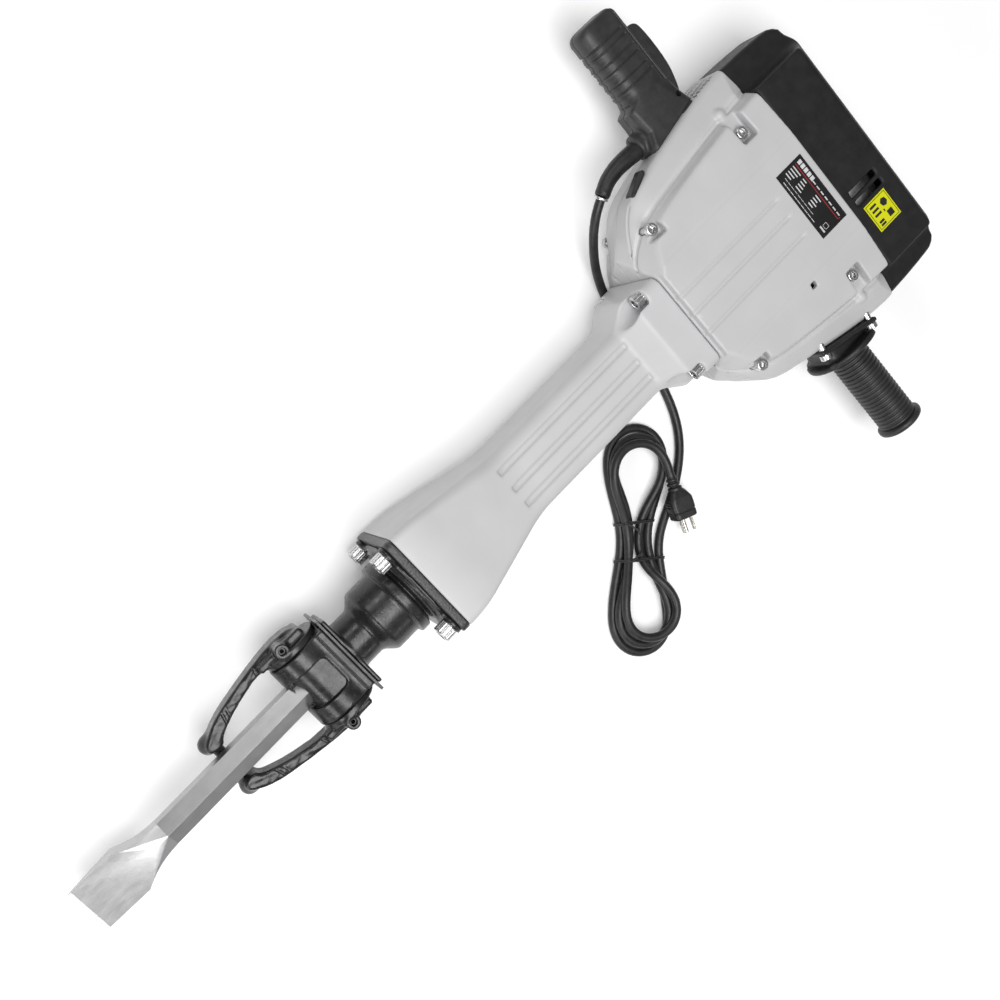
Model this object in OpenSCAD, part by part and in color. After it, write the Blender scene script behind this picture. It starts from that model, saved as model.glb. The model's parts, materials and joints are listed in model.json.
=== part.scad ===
// Electric breaker hammer (jackhammer) with a flat chisel, lying on its back cover.
// Row frame: +X from the chisel tip to the motor end, +Y to the trigger handle, +Z up.
// The origin is on the ground, under the middle of the machine. Stations along X are measured
// from the chisel tip, and heights from the hammer axis: seat() moves both into the row frame.

/* [Overall] */
// Length from the chisel tip to the end of the motor cap
total_l = 1117; // [1110:1:1124]
// Distance from the hammer axis to the end of each handle
handle_end_y = 280; // [270:1:290]
// Height of the hammer axis over the ground
axis_h = 70; // [70:0.5:72]

/* [Chisel] */
// Width across the flats of the hexagonal shank
shank_af = 28.6; // [28.4:0.1:28.8]
// Length of the chisel
chisel_l = 410; // [405:1:412]
// Width of the blade
blade_w = 50.8; // [44:0.2:56]
// Depth of the retaining notch in each side flat
notch_depth = 2.5; // [2:0.1:3]

/* [Tool retainer] */
// Station of the retainer's swing axis
retainer_x = 305; // [302:1:307]
// Radius of the retainer drum
drum_r = 31.5; // [31:0.5:32]
// Half width of the drum
drum_half_w = 37.5; // [36:0.5:38]
// Radius of the hubs at the roots of the two arms
hub_r = 30.5; // [29:0.5:31]
// Station of the cross bar at the arms' free ends
crossbar_x = 187; // [184:1:190]

/* [Nose and neck] */
// Radius of the slim part of the nose barrel
nose_r = 27; // [26:0.5:28]
// Radius of the thick part of the nose barrel
nose_big_r = 38; // [37:0.5:39]
// Side of the square flange plate
plate_w = 118.5; // [116:0.5:120]
// Half spacing of the four flange bolts
flange_bolt_y = 46.4; // [45:0.2:47]
// Half width of the slim part of the neck
neck_half_w = 39.5; // [38.5:0.5:41]
// Half width of the flange at the top of the neck
neck_top_y = 56; // [55:0.5:57]

/* [Housing] */
// Height of the front cover's flat band over the axis
front_z = 68; // [66:0.5:69]
// Half width of the housing at the motor end
body_half_w = 155.5; // [154:0.5:156]
// Station of the seam between the covers and the motor cap
seam_x = 1030; // [1028:1:1032]

/* [Handles] */
// Station of both handles' axes
handle_x = 958; // [955:1:961]
// Radius of the auxiliary grip over its ribs
grip_r = 23; // [21:0.5:24]
// Radius of the auxiliary handle's round collar
collar_r = 45; // [42:1:46]

/* [Drive] */
// Crank throw, half of the piston's stroke
throw = 25; // [22:0.5:25]
// Radius of the hammer cylinder's bore
bore_r = 25; // [24.5:0.1:25]
// Teeth of the motor pinion
motor_pinion_teeth = 14; // [14:1:14]
// Teeth of the large gear of the cluster
cluster_gear_teeth = 53; // [53:1:53]
// Teeth of the cluster pinion
cluster_pinion_teeth = 14; // [14:1:14]
// Teeth of the crank gear
crank_gear_teeth = 42; // [42:1:42]

/* [Cord] */
// Diameter of the mains cord
cord_d = 10; // [8:0.5:10]
// Half width of the tied hank
hank_r = 40; // [34:1:40]
// Height of the tied hank
hank_h = 28; // [26:1:29]

/* [Hidden] */
$fn = 64;

fit = 0.05;         // radial gap between a shaft and its hole
gap = 0.3;          // gap between faces that move past each other
eps = 1;            // overrun of a cutting tool past a face

paint_grey = "#c9cbcc";
cap_black = "#2c2d2f";
grip_black = "#3b3c3e";
oxide_black = "#35363a";
zinc = "#c3c6c8";
steel = "#8d9093";
aluminium = "#a9adb0";
copper = "#b06a3a";
cord_black = "#1d1e20";

// Shank corner radius, and half of the width across its flats
shank_corner_r = shank_af / sqrt(3);
shank_half = shank_af / 2;

// Stations along the hammer axis
drum_end_x = retainer_x + 31.8;
nose_x = drum_end_x + 5.5;
shoulder_x0 = 366;
shoulder_x1 = shoulder_x0 + 14;
nose_ring_x0 = 407;
nose_ring_x1 = 418;
lobe_x0 = 426;
plate_x0 = 431;
neck_x = 440.3;
neck_block_x = 464;
neck_slim_x0 = 573;
neck_slim_x1 = 756;
neck_top_x = 772;
body_x = 817;
neck_top_z = 58;
anvil_x0 = chisel_l + 0.5;
anvil_x1 = 560;
sleeve_x0 = 566;
sleeve_x1 = 835;
ram_x0 = 600;
ram_l = 80;
sleeve_r = 31;
piston_x0 = 740;
piston_l = 60;
wrist_x = 782;
crank_x = 915;
gear_module_1 = 2;
gear_module_2 = 2.5;
cluster_x = crank_x + gear_module_2 * (crank_gear_teeth + cluster_pinion_teeth) / 2;
motor_x = cluster_x + gear_module_1 * (cluster_gear_teeth + motor_pinion_teeth) / 2;
pin_x = crank_x - throw;
crank_pin_r = 8;
wrist_pin_r = 7;
crank_journal_r = 10;
small_journal_r = 7.5;

// Half outline of the covers, from the neck to the seam. Its long side carries the handles
side_x0 = 885;
side_y0 = 131;
side_x1 = 1000;
side_angle = atan((body_half_w - side_y0) / (side_x1 - side_x0));
cover_half = [
    [body_x, 60], [822, 74], [832, 95], [846, 112], [862, 124],
    [side_x0, side_y0], [side_x1, body_half_w], [seam_x, body_half_w - 1]
];
// Half outline of the raised panel on each cover
panel_half = [
    [body_x, 58], [824, 71], [836, 84], [850, 94], [866, 101],
    [900, 107], [960, 115], [1000, 119], [seam_x, 120.5]
];
// Half outline of the flat band along the middle of each panel
band_half = [[body_x + 8, 58], [body_x + 40, 62], [seam_x, 62]];
shoulder_z = 30;
valley_z = 46;
panel_z = 61;
inside_z = 58;
cover_bolt_spots = [[991, 96.7], [847.5, 92]];
cover_bolt_head_z = 57.4;
neck_bolt_y = 47.5;
neck_bolt_z = 45;
cap_screw_y = 138;
cap_screw_z = 16;
base_s = (handle_x - side_x0) / cos(side_angle);  // handle station along the slanted side

// Motor, along Y
stator_r = 46;
core_r = 27.4;
core_half_l = 35;

// Cord route, from the cable guard, down to the ground, under the neck and into the hank
lead_route = [
    [853, 141, -3], [839, 132, -8], [827, 118, -17], [819, 102, -29], [814, 86, -42],
    [811, 68, -55], [808, 48, -63.5], [806, 26, -64.8], [804, 0, -64.9], [801, -26, -64.9],
    [797, -50, -64.9], [792, -73, -64.9], [785, -95, -64.9], [775, -115, -64.9], [762, -132, -64.9],
    [746, -146, -64.9], [729, -158, -64.9]
];
tail_route = [
    [679, -90, -46], [693, -80.5, -46], [710, -79.5, -46], [725, -87, -46], [734.5, -101, -46],
    [735.5, -118, -46], [733.5, -124, -46], [730, -132.5, -46], [726, -141, -46]
];
guard_route = [
    [925, 151, 0], [912, 151, 0], [899, 152, 0], [885, 152, -1], [869, 149, -2], [853, 141, -3]
];
hank_top = [716, -102];
hank_waist = [655, -171];
hank_bottom = [594, -240.5];
hank_waist_r = 26;
plug_dir = -113.4;                    // heading of the plug in the XY plane
plug_at = [726, -141, -46];

// Row frame from stations and heights
module seat() { translate([-total_l / 2, 0, axis_h]) children(); }

module rod_x(r, x0, x1) {
    translate([x0, 0, 0]) rotate([0, 90, 0]) cylinder(r = r, h = x1 - x0);
}

module rod_y(r, y0, y1) {
    translate([0, y0, 0]) rotate([-90, 0, 0]) cylinder(r = r, h = y1 - y0);
}

// Hexagonal bar along X with a corner up
module hex_x(corner_r, x0, x1) {
    translate([x0, 0, 0]) rotate([0, 90, 0]) cylinder(r = corner_r, h = x1 - x0, $fn = 6);
}

module box(x0, x1, y0, y1, z0, z1) {
    translate([x0, y0, z0]) cube([x1 - x0, y1 - y0, z1 - z0]);
}

module both_sides() {
    children();
    mirror([0, 1, 0]) children();
}

module four_corners(y, z) {
    for (sy = [-1, 1], sz = [-1, 1])
        translate([0, sy * y, sz * z]) children();
}

// Closed outline from its half above the X axis, with the half width reduced by inset
function mirrored(half, inset = 0) = concat(
    [for (p = half) [p[0], p[1] - inset]],
    [for (i = [len(half) - 1 : -1 : 0]) [half[i][0], inset - half[i][1]]]);

module slab(points, z0, z1) {
    translate([0, 0, z0]) linear_extrude(z1 - z0) polygon(points);
}

// Frame of the slanted side wall: X along the wall from its lower end, Y outwards
module on_side() {
    translate([side_x0, side_y0, 0]) rotate([0, 0, side_angle]) children();
}

// ---- Tube swept along a route ----

function unit(v) = v / norm(v);

function heading(route, i) = unit(
    route[min(i + 1, len(route) - 1)] - route[max(i - 1, 0)]);

// Two directions across the tube: level, and square to it
function across(t) = unit(cross([0, 0, 1], t));

function ring(at, t, r, sides) = [
    for (k = [0 : sides - 1])
        at + r * cos(360 * k / sides) * across(t)
           + r * sin(360 * k / sides) * cross(t, across(t))];

// Closed skin over a row of rings that have the same number of sides
module skin(points, sides) {
    n = len(points) / sides;
    walls = [
        for (i = [0 : n - 2], k = [0 : sides - 1])
            [i * sides + k, (i + 1) * sides + k,
             (i + 1) * sides + (k + 1) % sides, i * sides + (k + 1) % sides]];
    start_cap = [[for (k = [0 : sides - 1]) k]];
    end_cap = [[for (k = [sides - 1 : -1 : 0]) (n - 1) * sides + k]];
    polyhedron(points, concat(start_cap, walls, end_cap), convexity = 4);
}

// Radii taper evenly from r0 to r1
module tube(route, r0, r1, sides = 10) {
    n = len(route);
    skin([
        for (i = [0 : n - 1])
            each ring(route[i], heading(route, i), r0 + (r1 - r0) * i / (n - 1), sides)], sides);
}

// ---- Gear with straight-sided teeth, along Y ----

function gear_outline(teeth, m, phase) = [
    for (i = [0 : teeth - 1], c = [[-0.3, -1.2], [-0.1, 0.9], [0.1, 0.9], [0.3, -1.2]])
        let (a = 360 * (i + phase + c[0]) / teeth, r = m * (teeth / 2 + c[1]))
            [r * cos(a), r * sin(a)]];

module gear_y(teeth, m, y0, y1, phase = 0) {
    translate([0, y0, 0]) rotate([-90, 0, 0]) linear_extrude(y1 - y0)
        polygon(gear_outline(teeth, m, phase));
}

// Socket-head bolt along +X: head at x0, shank to x1
module bolt_x(head_r, head_l, shank_r, x0, x1) {
    difference() {
        union() {
            rod_x(head_r, x0, x0 + head_l);
            rod_x(shank_r, x0 + head_l, x1);
        }
        hex_x(head_r * 0.55, x0 - eps, x0 + head_l * 0.55);
    }
}

// ---- Covers ----

// Outer form of one cover, from the parting plane up, with its flat band at band_z
module cover_form(band_z) {
    hull() {
        slab(mirrored(cover_half), 0, shoulder_z);
        slab(mirrored(cover_half, 25), valley_z - 1, valley_z);
    }
    hull() {
        slab(mirrored(panel_half, -6), valley_z - 8, valley_z - 7);
        slab(mirrored(panel_half, 0), panel_z - 4, panel_z - 3);
        slab(mirrored(panel_half, 4), panel_z - 1, panel_z);
        slab(mirrored(band_half), band_z - 1, band_z);
    }
}

// Space inside both covers, above the parting plane
module cover_cavity() {
    slab(mirrored([[852, 104], [862, 112], [side_x0, 122], [seam_x + eps, 146]]), -eps, shoulder_z - 2);
    slab(mirrored([[852, 90], [880, 98], [seam_x + eps, 113]]), -eps, valley_z - 4);
    slab(mirrored([[852, 76], [900, 80], [seam_x + eps, 84]]), -eps, inside_z);
    box(826, 853, -36, 36, -eps, 36);
    rod_x(sleeve_r + gap, body_x - eps, 853);
}

// Bosses that carry the cover bolts and the cap screws
module cover_bosses(top_z) {
    both_sides() {
        for (s = cover_bolt_spots)
            translate([s[0], s[1], 0]) cylinder(r = 9, h = top_z);
        box(1008, seam_x, cap_screw_y - 6, cap_screw_y + 11, cap_screw_z - 7, cap_screw_z + 7);
    }
}

// Pockets that open to the outside around the heads of the cover bolts
module bolt_pockets(floor_z) {
    both_sides() {
        translate([cover_bolt_spots[0][0], cover_bolt_spots[0][1], floor_z])
            cylinder(r = 10, h = 30);
        box(981, 1001, cover_bolt_spots[0][1], 140, floor_z, floor_z + 30);
        translate([cover_bolt_spots[1][0], cover_bolt_spots[1][1], floor_z])
            cylinder(r = 11, h = 30);
        box(836.5, 858.5, cover_bolt_spots[1][1], 130, floor_z, floor_z + 30);
    }
}

module side_vents() {
    both_sides()
        for (k = [0 : 2])
            box(1004, 1024, 135, 165, 4 + 9 * k, 7 + 9 * k);
}

module cover_body(band_z) {
    difference() {
        union() {
            difference() {
                cover_form(band_z);
                cover_cavity();
            }
            cover_bosses(valley_z);
        }
        bolt_pockets(cover_bolt_head_z - 8);
        side_vents();
        both_sides()
            for (s = cover_bolt_spots)
                translate([s[0], s[1], -eps]) cylinder(r = 4.2, h = 80);
        four_corners(neck_bolt_y, neck_bolt_z) rod_x(5.1, body_x - eps, 846);
        four_corners(cap_screw_y, cap_screw_z) rod_x(2.6, 1010, seam_x + eps);
    }
}

module front_cover() {
    color(paint_grey) seat() difference() {
        cover_body(front_z);
        for (y = [24, 2, -23])
            translate([0, y, front_z + 2.5]) rod_x(4, body_x - eps, 974);
        box(940, 947, -72.5, -65.5, front_z - 6, front_z + eps);
    }
}

module back_cover() {
    color(paint_grey) seat() mirror([0, 0, 1]) cover_body(axis_h);
}

module cover_bolts() {
    color(zinc) seat() both_sides()
        for (s = cover_bolt_spots)
            translate([s[0], s[1], 0]) difference() {
                union() {
                    translate([0, 0, cover_bolt_head_z - 8]) cylinder(r = 6.5, h = 8);
                    translate([0, 0, -49]) cylinder(r = 4, h = cover_bolt_head_z - 8 + 49);
                    translate([0, 0, -cover_bolt_head_z + 1]) cylinder(r = 7, h = 7, $fn = 6);
                }
                translate([0, 0, cover_bolt_head_z - 4]) cylinder(r = 3.6, h = 5, $fn = 6);
            }
}

// ---- Motor cap ----

cap_half = [[seam_x + gap, 154], [1051, 154], [1106, 150], [total_l, 141]];
cap_face_half = [[seam_x + gap, 120], [1080, 119], [1096, 116], [1100, 111]];

module motor_cap() {
    color(cap_black) seat() difference() {
        union() {
            difference() {
                hull() {
                    slab(mirrored(cap_half), -28, 28);
                    slab(mirrored(cap_face_half, -12), -52, 52);
                    slab(mirrored(cap_face_half), -62, 62);
                }
                box(seam_x, 1110, -143, 143, -24, 24);
                box(seam_x, 1096, -112, 112, -57, 57);
            }
            four_corners(cap_screw_y, cap_screw_z) rod_x(7, seam_x + gap, 1108);
        }
        four_corners(cap_screw_y, cap_screw_z) {
            rod_x(2.6, seam_x, 1125);
            rod_x(5, 1104, 1125);
        }
        for (y = [-32, -44])
            box(1042, 1082, y - 3.5, y + 3.5, 50, 70);
    }
}

module cap_screws() {
    color(steel) seat() four_corners(cap_screw_y, cap_screw_z) difference() {
        union() {
            rod_x(4.5, 1104, 1108);
            rod_x(2.5, 1014, 1104);
        }
        hex_x(2, 1106, 1109);
    }
}

// ---- Neck ----

// Rounded rectangle across X: four corners of five points each
function neck_ring(x, half_y, half_z, corner) = [
    for (c = [[1, 1, 0], [-1, 1, 90], [-1, -1, 180], [1, -1, 270]], a = [0 : 22.5 : 90])
        [x, c[0] * (half_y - corner) + corner * cos(c[2] + a),
         c[1] * (half_z - corner) + corner * sin(c[2] + a)]];

neck_rings = [
    neck_ring(neck_x, plate_w / 2, plate_w / 2, 6),
    neck_ring(neck_block_x, plate_w / 2, plate_w / 2, 6),
    neck_ring(neck_slim_x0, neck_half_w, neck_half_w, 12),
    neck_ring(neck_slim_x1, neck_half_w, neck_half_w, 12),
    neck_ring(neck_top_x + 6, neck_top_y, neck_top_z, 10),
    neck_ring(body_x, neck_top_y, neck_top_z, 10)
];

module neck_housing() {
    color(paint_grey) seat() difference() {
        skin([for (r = neck_rings) each r], 20);
        rod_x(sleeve_r + fit, anvil_x1, body_x + eps);
        rod_x(30 + fit, neck_x - eps, anvil_x1 + eps);
        four_corners(neck_bolt_y, neck_bolt_z) {
            rod_x(5.1, neck_top_x, body_x + eps);
            rod_x(13, neck_slim_x1 - 20, 797);
        }
        four_corners(flange_bolt_y, flange_bolt_y) rod_x(6.1, neck_x - eps, 471);
        for (y = [23, 1, -19])
            translate([0, y, neck_half_w + 2.5]) rod_x(4.5, neck_slim_x0 - 4, neck_slim_x1 - 4);
    }
}

module neck_bolts() {
    color(zinc) seat() four_corners(neck_bolt_y, neck_bolt_z) bolt_x(8, 11, 5, 786, 844);
}

module flange_plate() {
    color(cap_black) seat() difference() {
        hull() four_corners(plate_w / 2 - 6, plate_w / 2 - 6) rod_x(6, plate_x0, neck_x);
        rod_x(30 + fit, plate_x0 - eps, neck_x + eps);
        four_corners(flange_bolt_y, flange_bolt_y) rod_x(6.1, plate_x0 - eps, neck_x + eps);
    }
}

// ---- Nose ----

// Radius of the nose's cast shoulder: a smooth step from the slim part to the thick one
function shoulder_r(t) = nose_r + (nose_big_r - nose_r) * (1 - cos(180 * t)) / 2;

module nose_barrel() {
    bore = 22.5;
    profile = concat(
        [[bore, nose_x], [nose_r, nose_x]],
        [for (i = [0 : 8]) [shoulder_r(i / 8), shoulder_x0 + (shoulder_x1 - shoulder_x0) * i / 8]],
        [[nose_big_r, nose_ring_x0], [43, nose_ring_x0 + 1], [43, nose_ring_x1],
         [40, nose_ring_x1 + 1], [40, plate_x0], [bore, plate_x0]]);
    color(oxide_black) seat() difference() {
        union() {
            rotate([0, 90, 0]) rotate_extrude($fn = 96) polygon(profile);
            difference() {
                union() {
                    rod_x(52, lobe_x0 - 4, plate_x0);
                    four_corners(flange_bolt_y, flange_bolt_y) rod_x(11.5, lobe_x0, plate_x0);
                    intersection() {
                        rod_x(66, lobe_x0, plate_x0);
                        box(lobe_x0, plate_x0, -54, 54, -54, 54);
                    }
                }
                rod_x(39, lobe_x0 - 6, plate_x0 + eps);
            }
            box(nose_x - 2.2, nose_x + 2.3, -42, 42, -26, 26);
        }
        rod_x(bore, nose_x - 4, plate_x0 + eps);
        four_corners(flange_bolt_y, flange_bolt_y) {
            rod_x(6.1, lobe_x0 - 6, plate_x0 + eps);
            rod_x(10.2, lobe_x0 - 6, lobe_x0);
        }
    }
}

module nose_bolts() {
    color(zinc) seat() four_corners(flange_bolt_y, flange_bolt_y) bolt_x(9.5, 13, 6, lobe_x0 - 13, 468);
}

module nose_bushing() {
    color(steel) seat() difference() {
        rod_x(22.4, nose_x + 4, plate_x0);
        hex_x(shank_corner_r + 0.15, nose_x, anvil_x0 - 4);
        rod_x(shank_corner_r + 0.3, anvil_x0 - 30, plate_x0 + eps);
    }
}

module anvil_guide() {
    color("#8a8d90") seat() difference() {
        rod_x(30, plate_x0, anvil_x1 - 8);
        rod_x(20 + fit, plate_x0 - eps, 512);
        rod_x(14 + fit, 500, anvil_x1 + eps);
    }
}

module damping_ring() {
    color(cord_black) seat() difference() {
        rod_x(29.8, anvil_x1 - 8, anvil_x1 + 6);
        rod_x(16, anvil_x1 - 9, anvil_x1 + 7);
    }
}

// Stepped striking pin between the ram and the chisel. Its rest place leaves room to follow the chisel
module anvil() {
    color(steel) seat() {
        rod_x(15, anvil_x0, anvil_x0 + 48);
        rod_x(20, anvil_x0 + 47, anvil_x0 + 100);
        rod_x(14, anvil_x0 + 99, anvil_x1 + 12);
    }
}

// ---- Hammer mechanism ----

module cylinder_sleeve() {
    color(steel) seat() difference() {
        rod_x(sleeve_r, sleeve_x0, sleeve_x1);
        rod_x(bore_r, sleeve_x0 - eps, sleeve_x1 + eps);
        for (x = [720, 732])
            translate([x, 0, 0]) for (a = [0 : 90 : 270])
                rotate([a, 0, 0]) translate([0, 0, bore_r - 3]) cylinder(r = 2, h = 12);
    }
}

module seal_groove_x(r, x) {
    difference() {
        rod_x(r + eps, x, x + 4);
        rod_x(r - 3, x - eps, x + 5);
    }
}

module seal_ring_x(r, x) {
    difference() {
        rod_x(r, x + 0.2, x + 3.8);
        rod_x(r - 2.9, x - eps, x + 5);
    }
}

module ram() {
    color(steel) seat() difference() {
        rod_x(bore_r - fit, ram_x0, ram_x0 + ram_l);
        seal_groove_x(bore_r, ram_x0 + 52);
        seal_groove_x(bore_r, ram_x0 + 64);
        rod_x(12, ram_x0 + ram_l - 10, ram_x0 + ram_l + eps);
    }
}

module ram_seals() {
    color(cord_black) seat() {
        seal_ring_x(bore_r - fit, ram_x0 + 52);
        seal_ring_x(bore_r - fit, ram_x0 + 64);
    }
}

module piston() {
    color(aluminium) seat() difference() {
        rod_x(bore_r - fit, piston_x0, piston_x0 + piston_l);
        seal_groove_x(bore_r, piston_x0 + 5);
        rod_x(19, piston_x0 + 16, piston_x0 + piston_l + eps);
        translate([wrist_x, 0, 0]) rod_y(wrist_pin_r, -30, 30);
    }
}

module piston_seals() {
    color(cord_black) seat() seal_ring_x(bore_r - fit, piston_x0 + 5);
}

module wrist_pin() {
    color(steel) seat() translate([wrist_x, 0, 0]) difference() {
        rod_y(wrist_pin_r - 0.02, -22, 22);
        rod_y(4, -23, 23);
    }
}

module connecting_rod() {
    color(steel) seat() difference() {
        union() {
            translate([wrist_x, 0, 0]) rod_y(11.5, -8, 8);
            translate([pin_x, 0, 0]) rod_y(15, -9, 9);
            box(wrist_x + 6, pin_x - 8, -6, 6, -7, 7);
        }
        translate([wrist_x, 0, 0]) rod_y(wrist_pin_r + fit, -30, 30);
        translate([pin_x, 0, 0]) rod_y(crank_pin_r, -30, 30);
    }
}

module crank_pin() {
    color(steel) seat() translate([pin_x, 0, 0]) rod_y(crank_pin_r - 0.02, -9.8, 11);
}

module crankshaft() {
    color(steel) seat() translate([crank_x, 0, 0]) difference() {
        union() {
            rod_y(38, -26, -10.4);
            rod_y(crank_journal_r + 4, -30.9, -25);
            rod_y(crank_journal_r, -86, -30);
        }
        translate([-throw, 0, 0]) rod_y(crank_pin_r, -18, -9);
        translate([-14, 0, 0]) for (s = [-1, 1])
            translate([0, 0, s * 21]) rod_y(7, -30, -9);
    }
}

module crank_gear() {
    color(steel) seat() translate([crank_x, 0, 0]) difference() {
        gear_y(crank_gear_teeth, gear_module_2, -50, -31, 0.5);
        rod_y(crank_journal_r + 0.02, -60, -30);
        for (a = [0 : 60 : 300])
            rotate([0, a, 0]) translate([30, 0, 0]) rod_y(8, -60, -30);
    }
}

module cluster_gear() {
    color(steel) seat() translate([cluster_x, 0, 0]) {
        gear_y(cluster_pinion_teeth, gear_module_2, -52, -29);
        rod_y(small_journal_r, -86, -51);
        gear_y(cluster_gear_teeth, gear_module_1, -77, -69);
    }
}

// Ring of the bearing, its outer race and balls drawn as one with the inner race
module bearing_y(inner_r, outer_r, y0, y1) {
    difference() {
        rod_y(outer_r, y0, y1);
        rod_y(inner_r + fit, y0 - eps, y1 + eps);
        for (y = [y0 - 2.4, y1 - 0.6])
            difference() {
                rod_y(outer_r - 3, y, y + 3);
                rod_y(inner_r + 3, y - eps, y + 4);
            }
    }
}

module shaft_bearings() {
    color(zinc) seat() {
        translate([crank_x, 0, 0]) {
            bearing_y(crank_journal_r, 23.5, -66, -55);
            bearing_y(crank_journal_r, 21, -86.4, -78.4);
        }
        translate([cluster_x, 0, 0]) {
            bearing_y(small_journal_r, 17.5, -66, -55);
            bearing_y(small_journal_r, 16, -86.4, -78.4);
        }
        translate([motor_x, 0, 0]) {
            bearing_y(small_journal_r, 17.5, -66, -55);
            bearing_y(small_journal_r, 16, 80, 90);
        }
    }
}

// Cast plate across the gearbox, with the shroud that holds one end of the stator
module inner_gear_plate() {
    color(aluminium) seat() difference() {
        union() {
            box(872, 1084, -66, -55, -54, 54);
            translate([motor_x, 0, 0]) rod_y(stator_r + 4, -56, -22);
        }
        translate([crank_x, 0, 0]) rod_y(23.5, -70, -50);
        translate([cluster_x, 0, 0]) {
            rod_y(17.5, -70, -50);
            rod_y(22, -54.9, -20);
        }
        translate([motor_x, 0, 0]) {
            rod_y(17.5, -70, -50);
            rod_y(stator_r + fit, -54, -20);
        }
    }
}

module outer_gear_plate() {
    color(aluminium) seat() difference() {
        box(886, 1010, -86.4, -78.4, -40, 40);
        translate([crank_x, 0, 0]) rod_y(21, -90, -70);
        translate([cluster_x, 0, 0]) rod_y(16, -90, -70);
    }
}

// ---- Motor ----

module armature() {
    color(copper) seat() translate([motor_x, 0, 0]) {
        rod_y(small_journal_r, -78, 90);
        gear_y(motor_pinion_teeth, gear_module_1, -78, -67, 0.5);
        rod_y(core_r, -core_half_l, core_half_l);
        rod_y(22, -39, 43);
        rod_y(19, 48, 74);
    }
}

module cooling_fan() {
    color(cap_black) seat() translate([motor_x, 0, 0]) difference() {
        union() {
            rod_y(13, -51, -42);
            rod_y(43, -44, -42);
            for (a = [0 : 30 : 330])
                rotate([0, a, 0]) box(16, 43, -51, -43, -1, 1);
        }
        rod_y(small_journal_r + 0.02, -52, -40);
    }
}

module stator() {
    color(steel) seat() translate([motor_x, 0, 0]) difference() {
        union() {
            rod_y(stator_r, -core_half_l, core_half_l);
            rod_y(41, -39.5, 39.5);
        }
        rod_y(core_r + 0.6, -45, 45);
    }
}

module motor_bracket() {
    color(aluminium) seat() translate([motor_x, 0, 0]) difference() {
        union() {
            rod_y(stator_r + 4, 22, 83);
            rod_y(38, 82, 92);
        }
        rod_y(stator_r + fit, 20, 78);
        rod_y(16, 70, 93);
        for (s = [-1, 1])
            box(-12, 12, 50, 72, min(s * 20, s * 60), max(s * 20, s * 60));
    }
}

module brush_holders() {
    color(cap_black) seat() for (s = [-1, 1])
        translate([motor_x, 61, 0]) mirror([0, 0, s < 0 ? 1 : 0]) difference() {
            box(-9, 9, -10, 10, 22, 52);
            box(-5, 5, -6, 6, 21, 48);
        }
}

module carbon_brushes() {
    color("#2a2a2c") seat() for (s = [-1, 1])
        translate([motor_x, 61, 0]) mirror([0, 0, s < 0 ? 1 : 0]) box(-4.9, 4.9, -5.9, 5.9, 19.3, 44);
}

// ---- Tool retainer ----

// Drum that carries the two arms: the shank passes along X, the hub spigots enter along Y
module retainer_body() {
    color(oxide_black) seat() difference() {
        union() {
            translate([retainer_x, 0, 0]) rod_y(drum_r, -drum_half_w, drum_half_w);
            box(retainer_x, drum_end_x - 0.1, -drum_half_w, drum_half_w, -28, 28);
        }
        rod_x(shank_corner_r + 0.5, retainer_x - 50, drum_end_x + eps);
        both_sides() translate([retainer_x, 0, 0]) rod_y(24 + fit, 12, 50);
        for (sz = [0, 1])
            mirror([0, 0, sz]) difference() {
                hull() for (x = [-20, 9], y = [-12, 12])
                    translate([retainer_x + x, y, 0]) cylinder(r = 7, h = 46, $fn = 32);
                translate([retainer_x, 0, 0]) rod_y(25.6, -30, 30);
                box(retainer_x, retainer_x + 30, -30, 30, -eps, 25.6);
            }
    }
}

module retainer_plate() {
    color(oxide_black) seat() difference() {
        box(drum_end_x, drum_end_x + 3, -47, 47, -31, 31);
        rod_x(shank_corner_r + 1.5, drum_end_x - eps, drum_end_x + 4);
    }
}

// Outline of an arm in the XY plane, from its hub to its foot
arm_outline = [
    [retainer_x + 14, 57], [290, 58.5], [268, 56], [249, 53], [229, 49.5], [210, 45.5],
    [195, 40], [184, 33], [180, 27], [182, 21], [196, 20], [200, 26],
    [212, 31.5], [228, 37], [245, 41], [262, 44.5], [retainer_x + 14, 44.5]
];

module bail_arm() {
    difference() {
        union() {
            translate([retainer_x, 0, 0]) {
                rod_y(hub_r, drum_half_w + 0.7, 45);
                rod_y(24, 12.2, 39);
            }
            slab(arm_outline, -18, 6);
            translate([crossbar_x, 0, -22]) rod_y(10, 18, 31);
            translate([296, 50, -14]) cylinder(r = 7.5, h = 44);
        }
        box(retainer_x - 10.2, retainer_x + 10.2, 0, 17, -30, 30);
        translate([crossbar_x, 0, -24]) rod_y(6 + 0.02, 10, 27);
        translate([296, 50, -20]) cylinder(r = 3.5, h = 60);
    }
}

module bail_arm_left() {
    color(oxide_black) seat() bail_arm();
}

module bail_arm_right() {
    color(oxide_black) seat() mirror([0, 1, 0]) bail_arm();
}

module bail_crossbar() {
    color(cord_black) seat() translate([crossbar_x, 0, -24]) rod_y(6, -27, 27);
}

module bail_roll_pins() {
    color(steel) seat() both_sides() translate([296, 50, -12]) difference() {
        cylinder(r = 3.48, h = 38);
        translate([0, 0, -eps]) cylinder(r = 2, h = 42);
    }
}

// ---- Chisel ----

blade_shoulder_x = 54;
shank_start_x = 93;

// Plan of the blade: parallel sides, then hollow shoulders down to the shank
function blade_half() = concat(
    [[0, blade_w / 2], [blade_shoulder_x, blade_w / 2]],
    [for (i = [1 : 8]) let (t = i / 8)
        [blade_shoulder_x + (shank_start_x - blade_shoulder_x) * t,
         shank_half + (blade_w / 2 - shank_half) * pow(1 - t, 2)]],
    [[shank_start_x + 8, shank_half]]);

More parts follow.
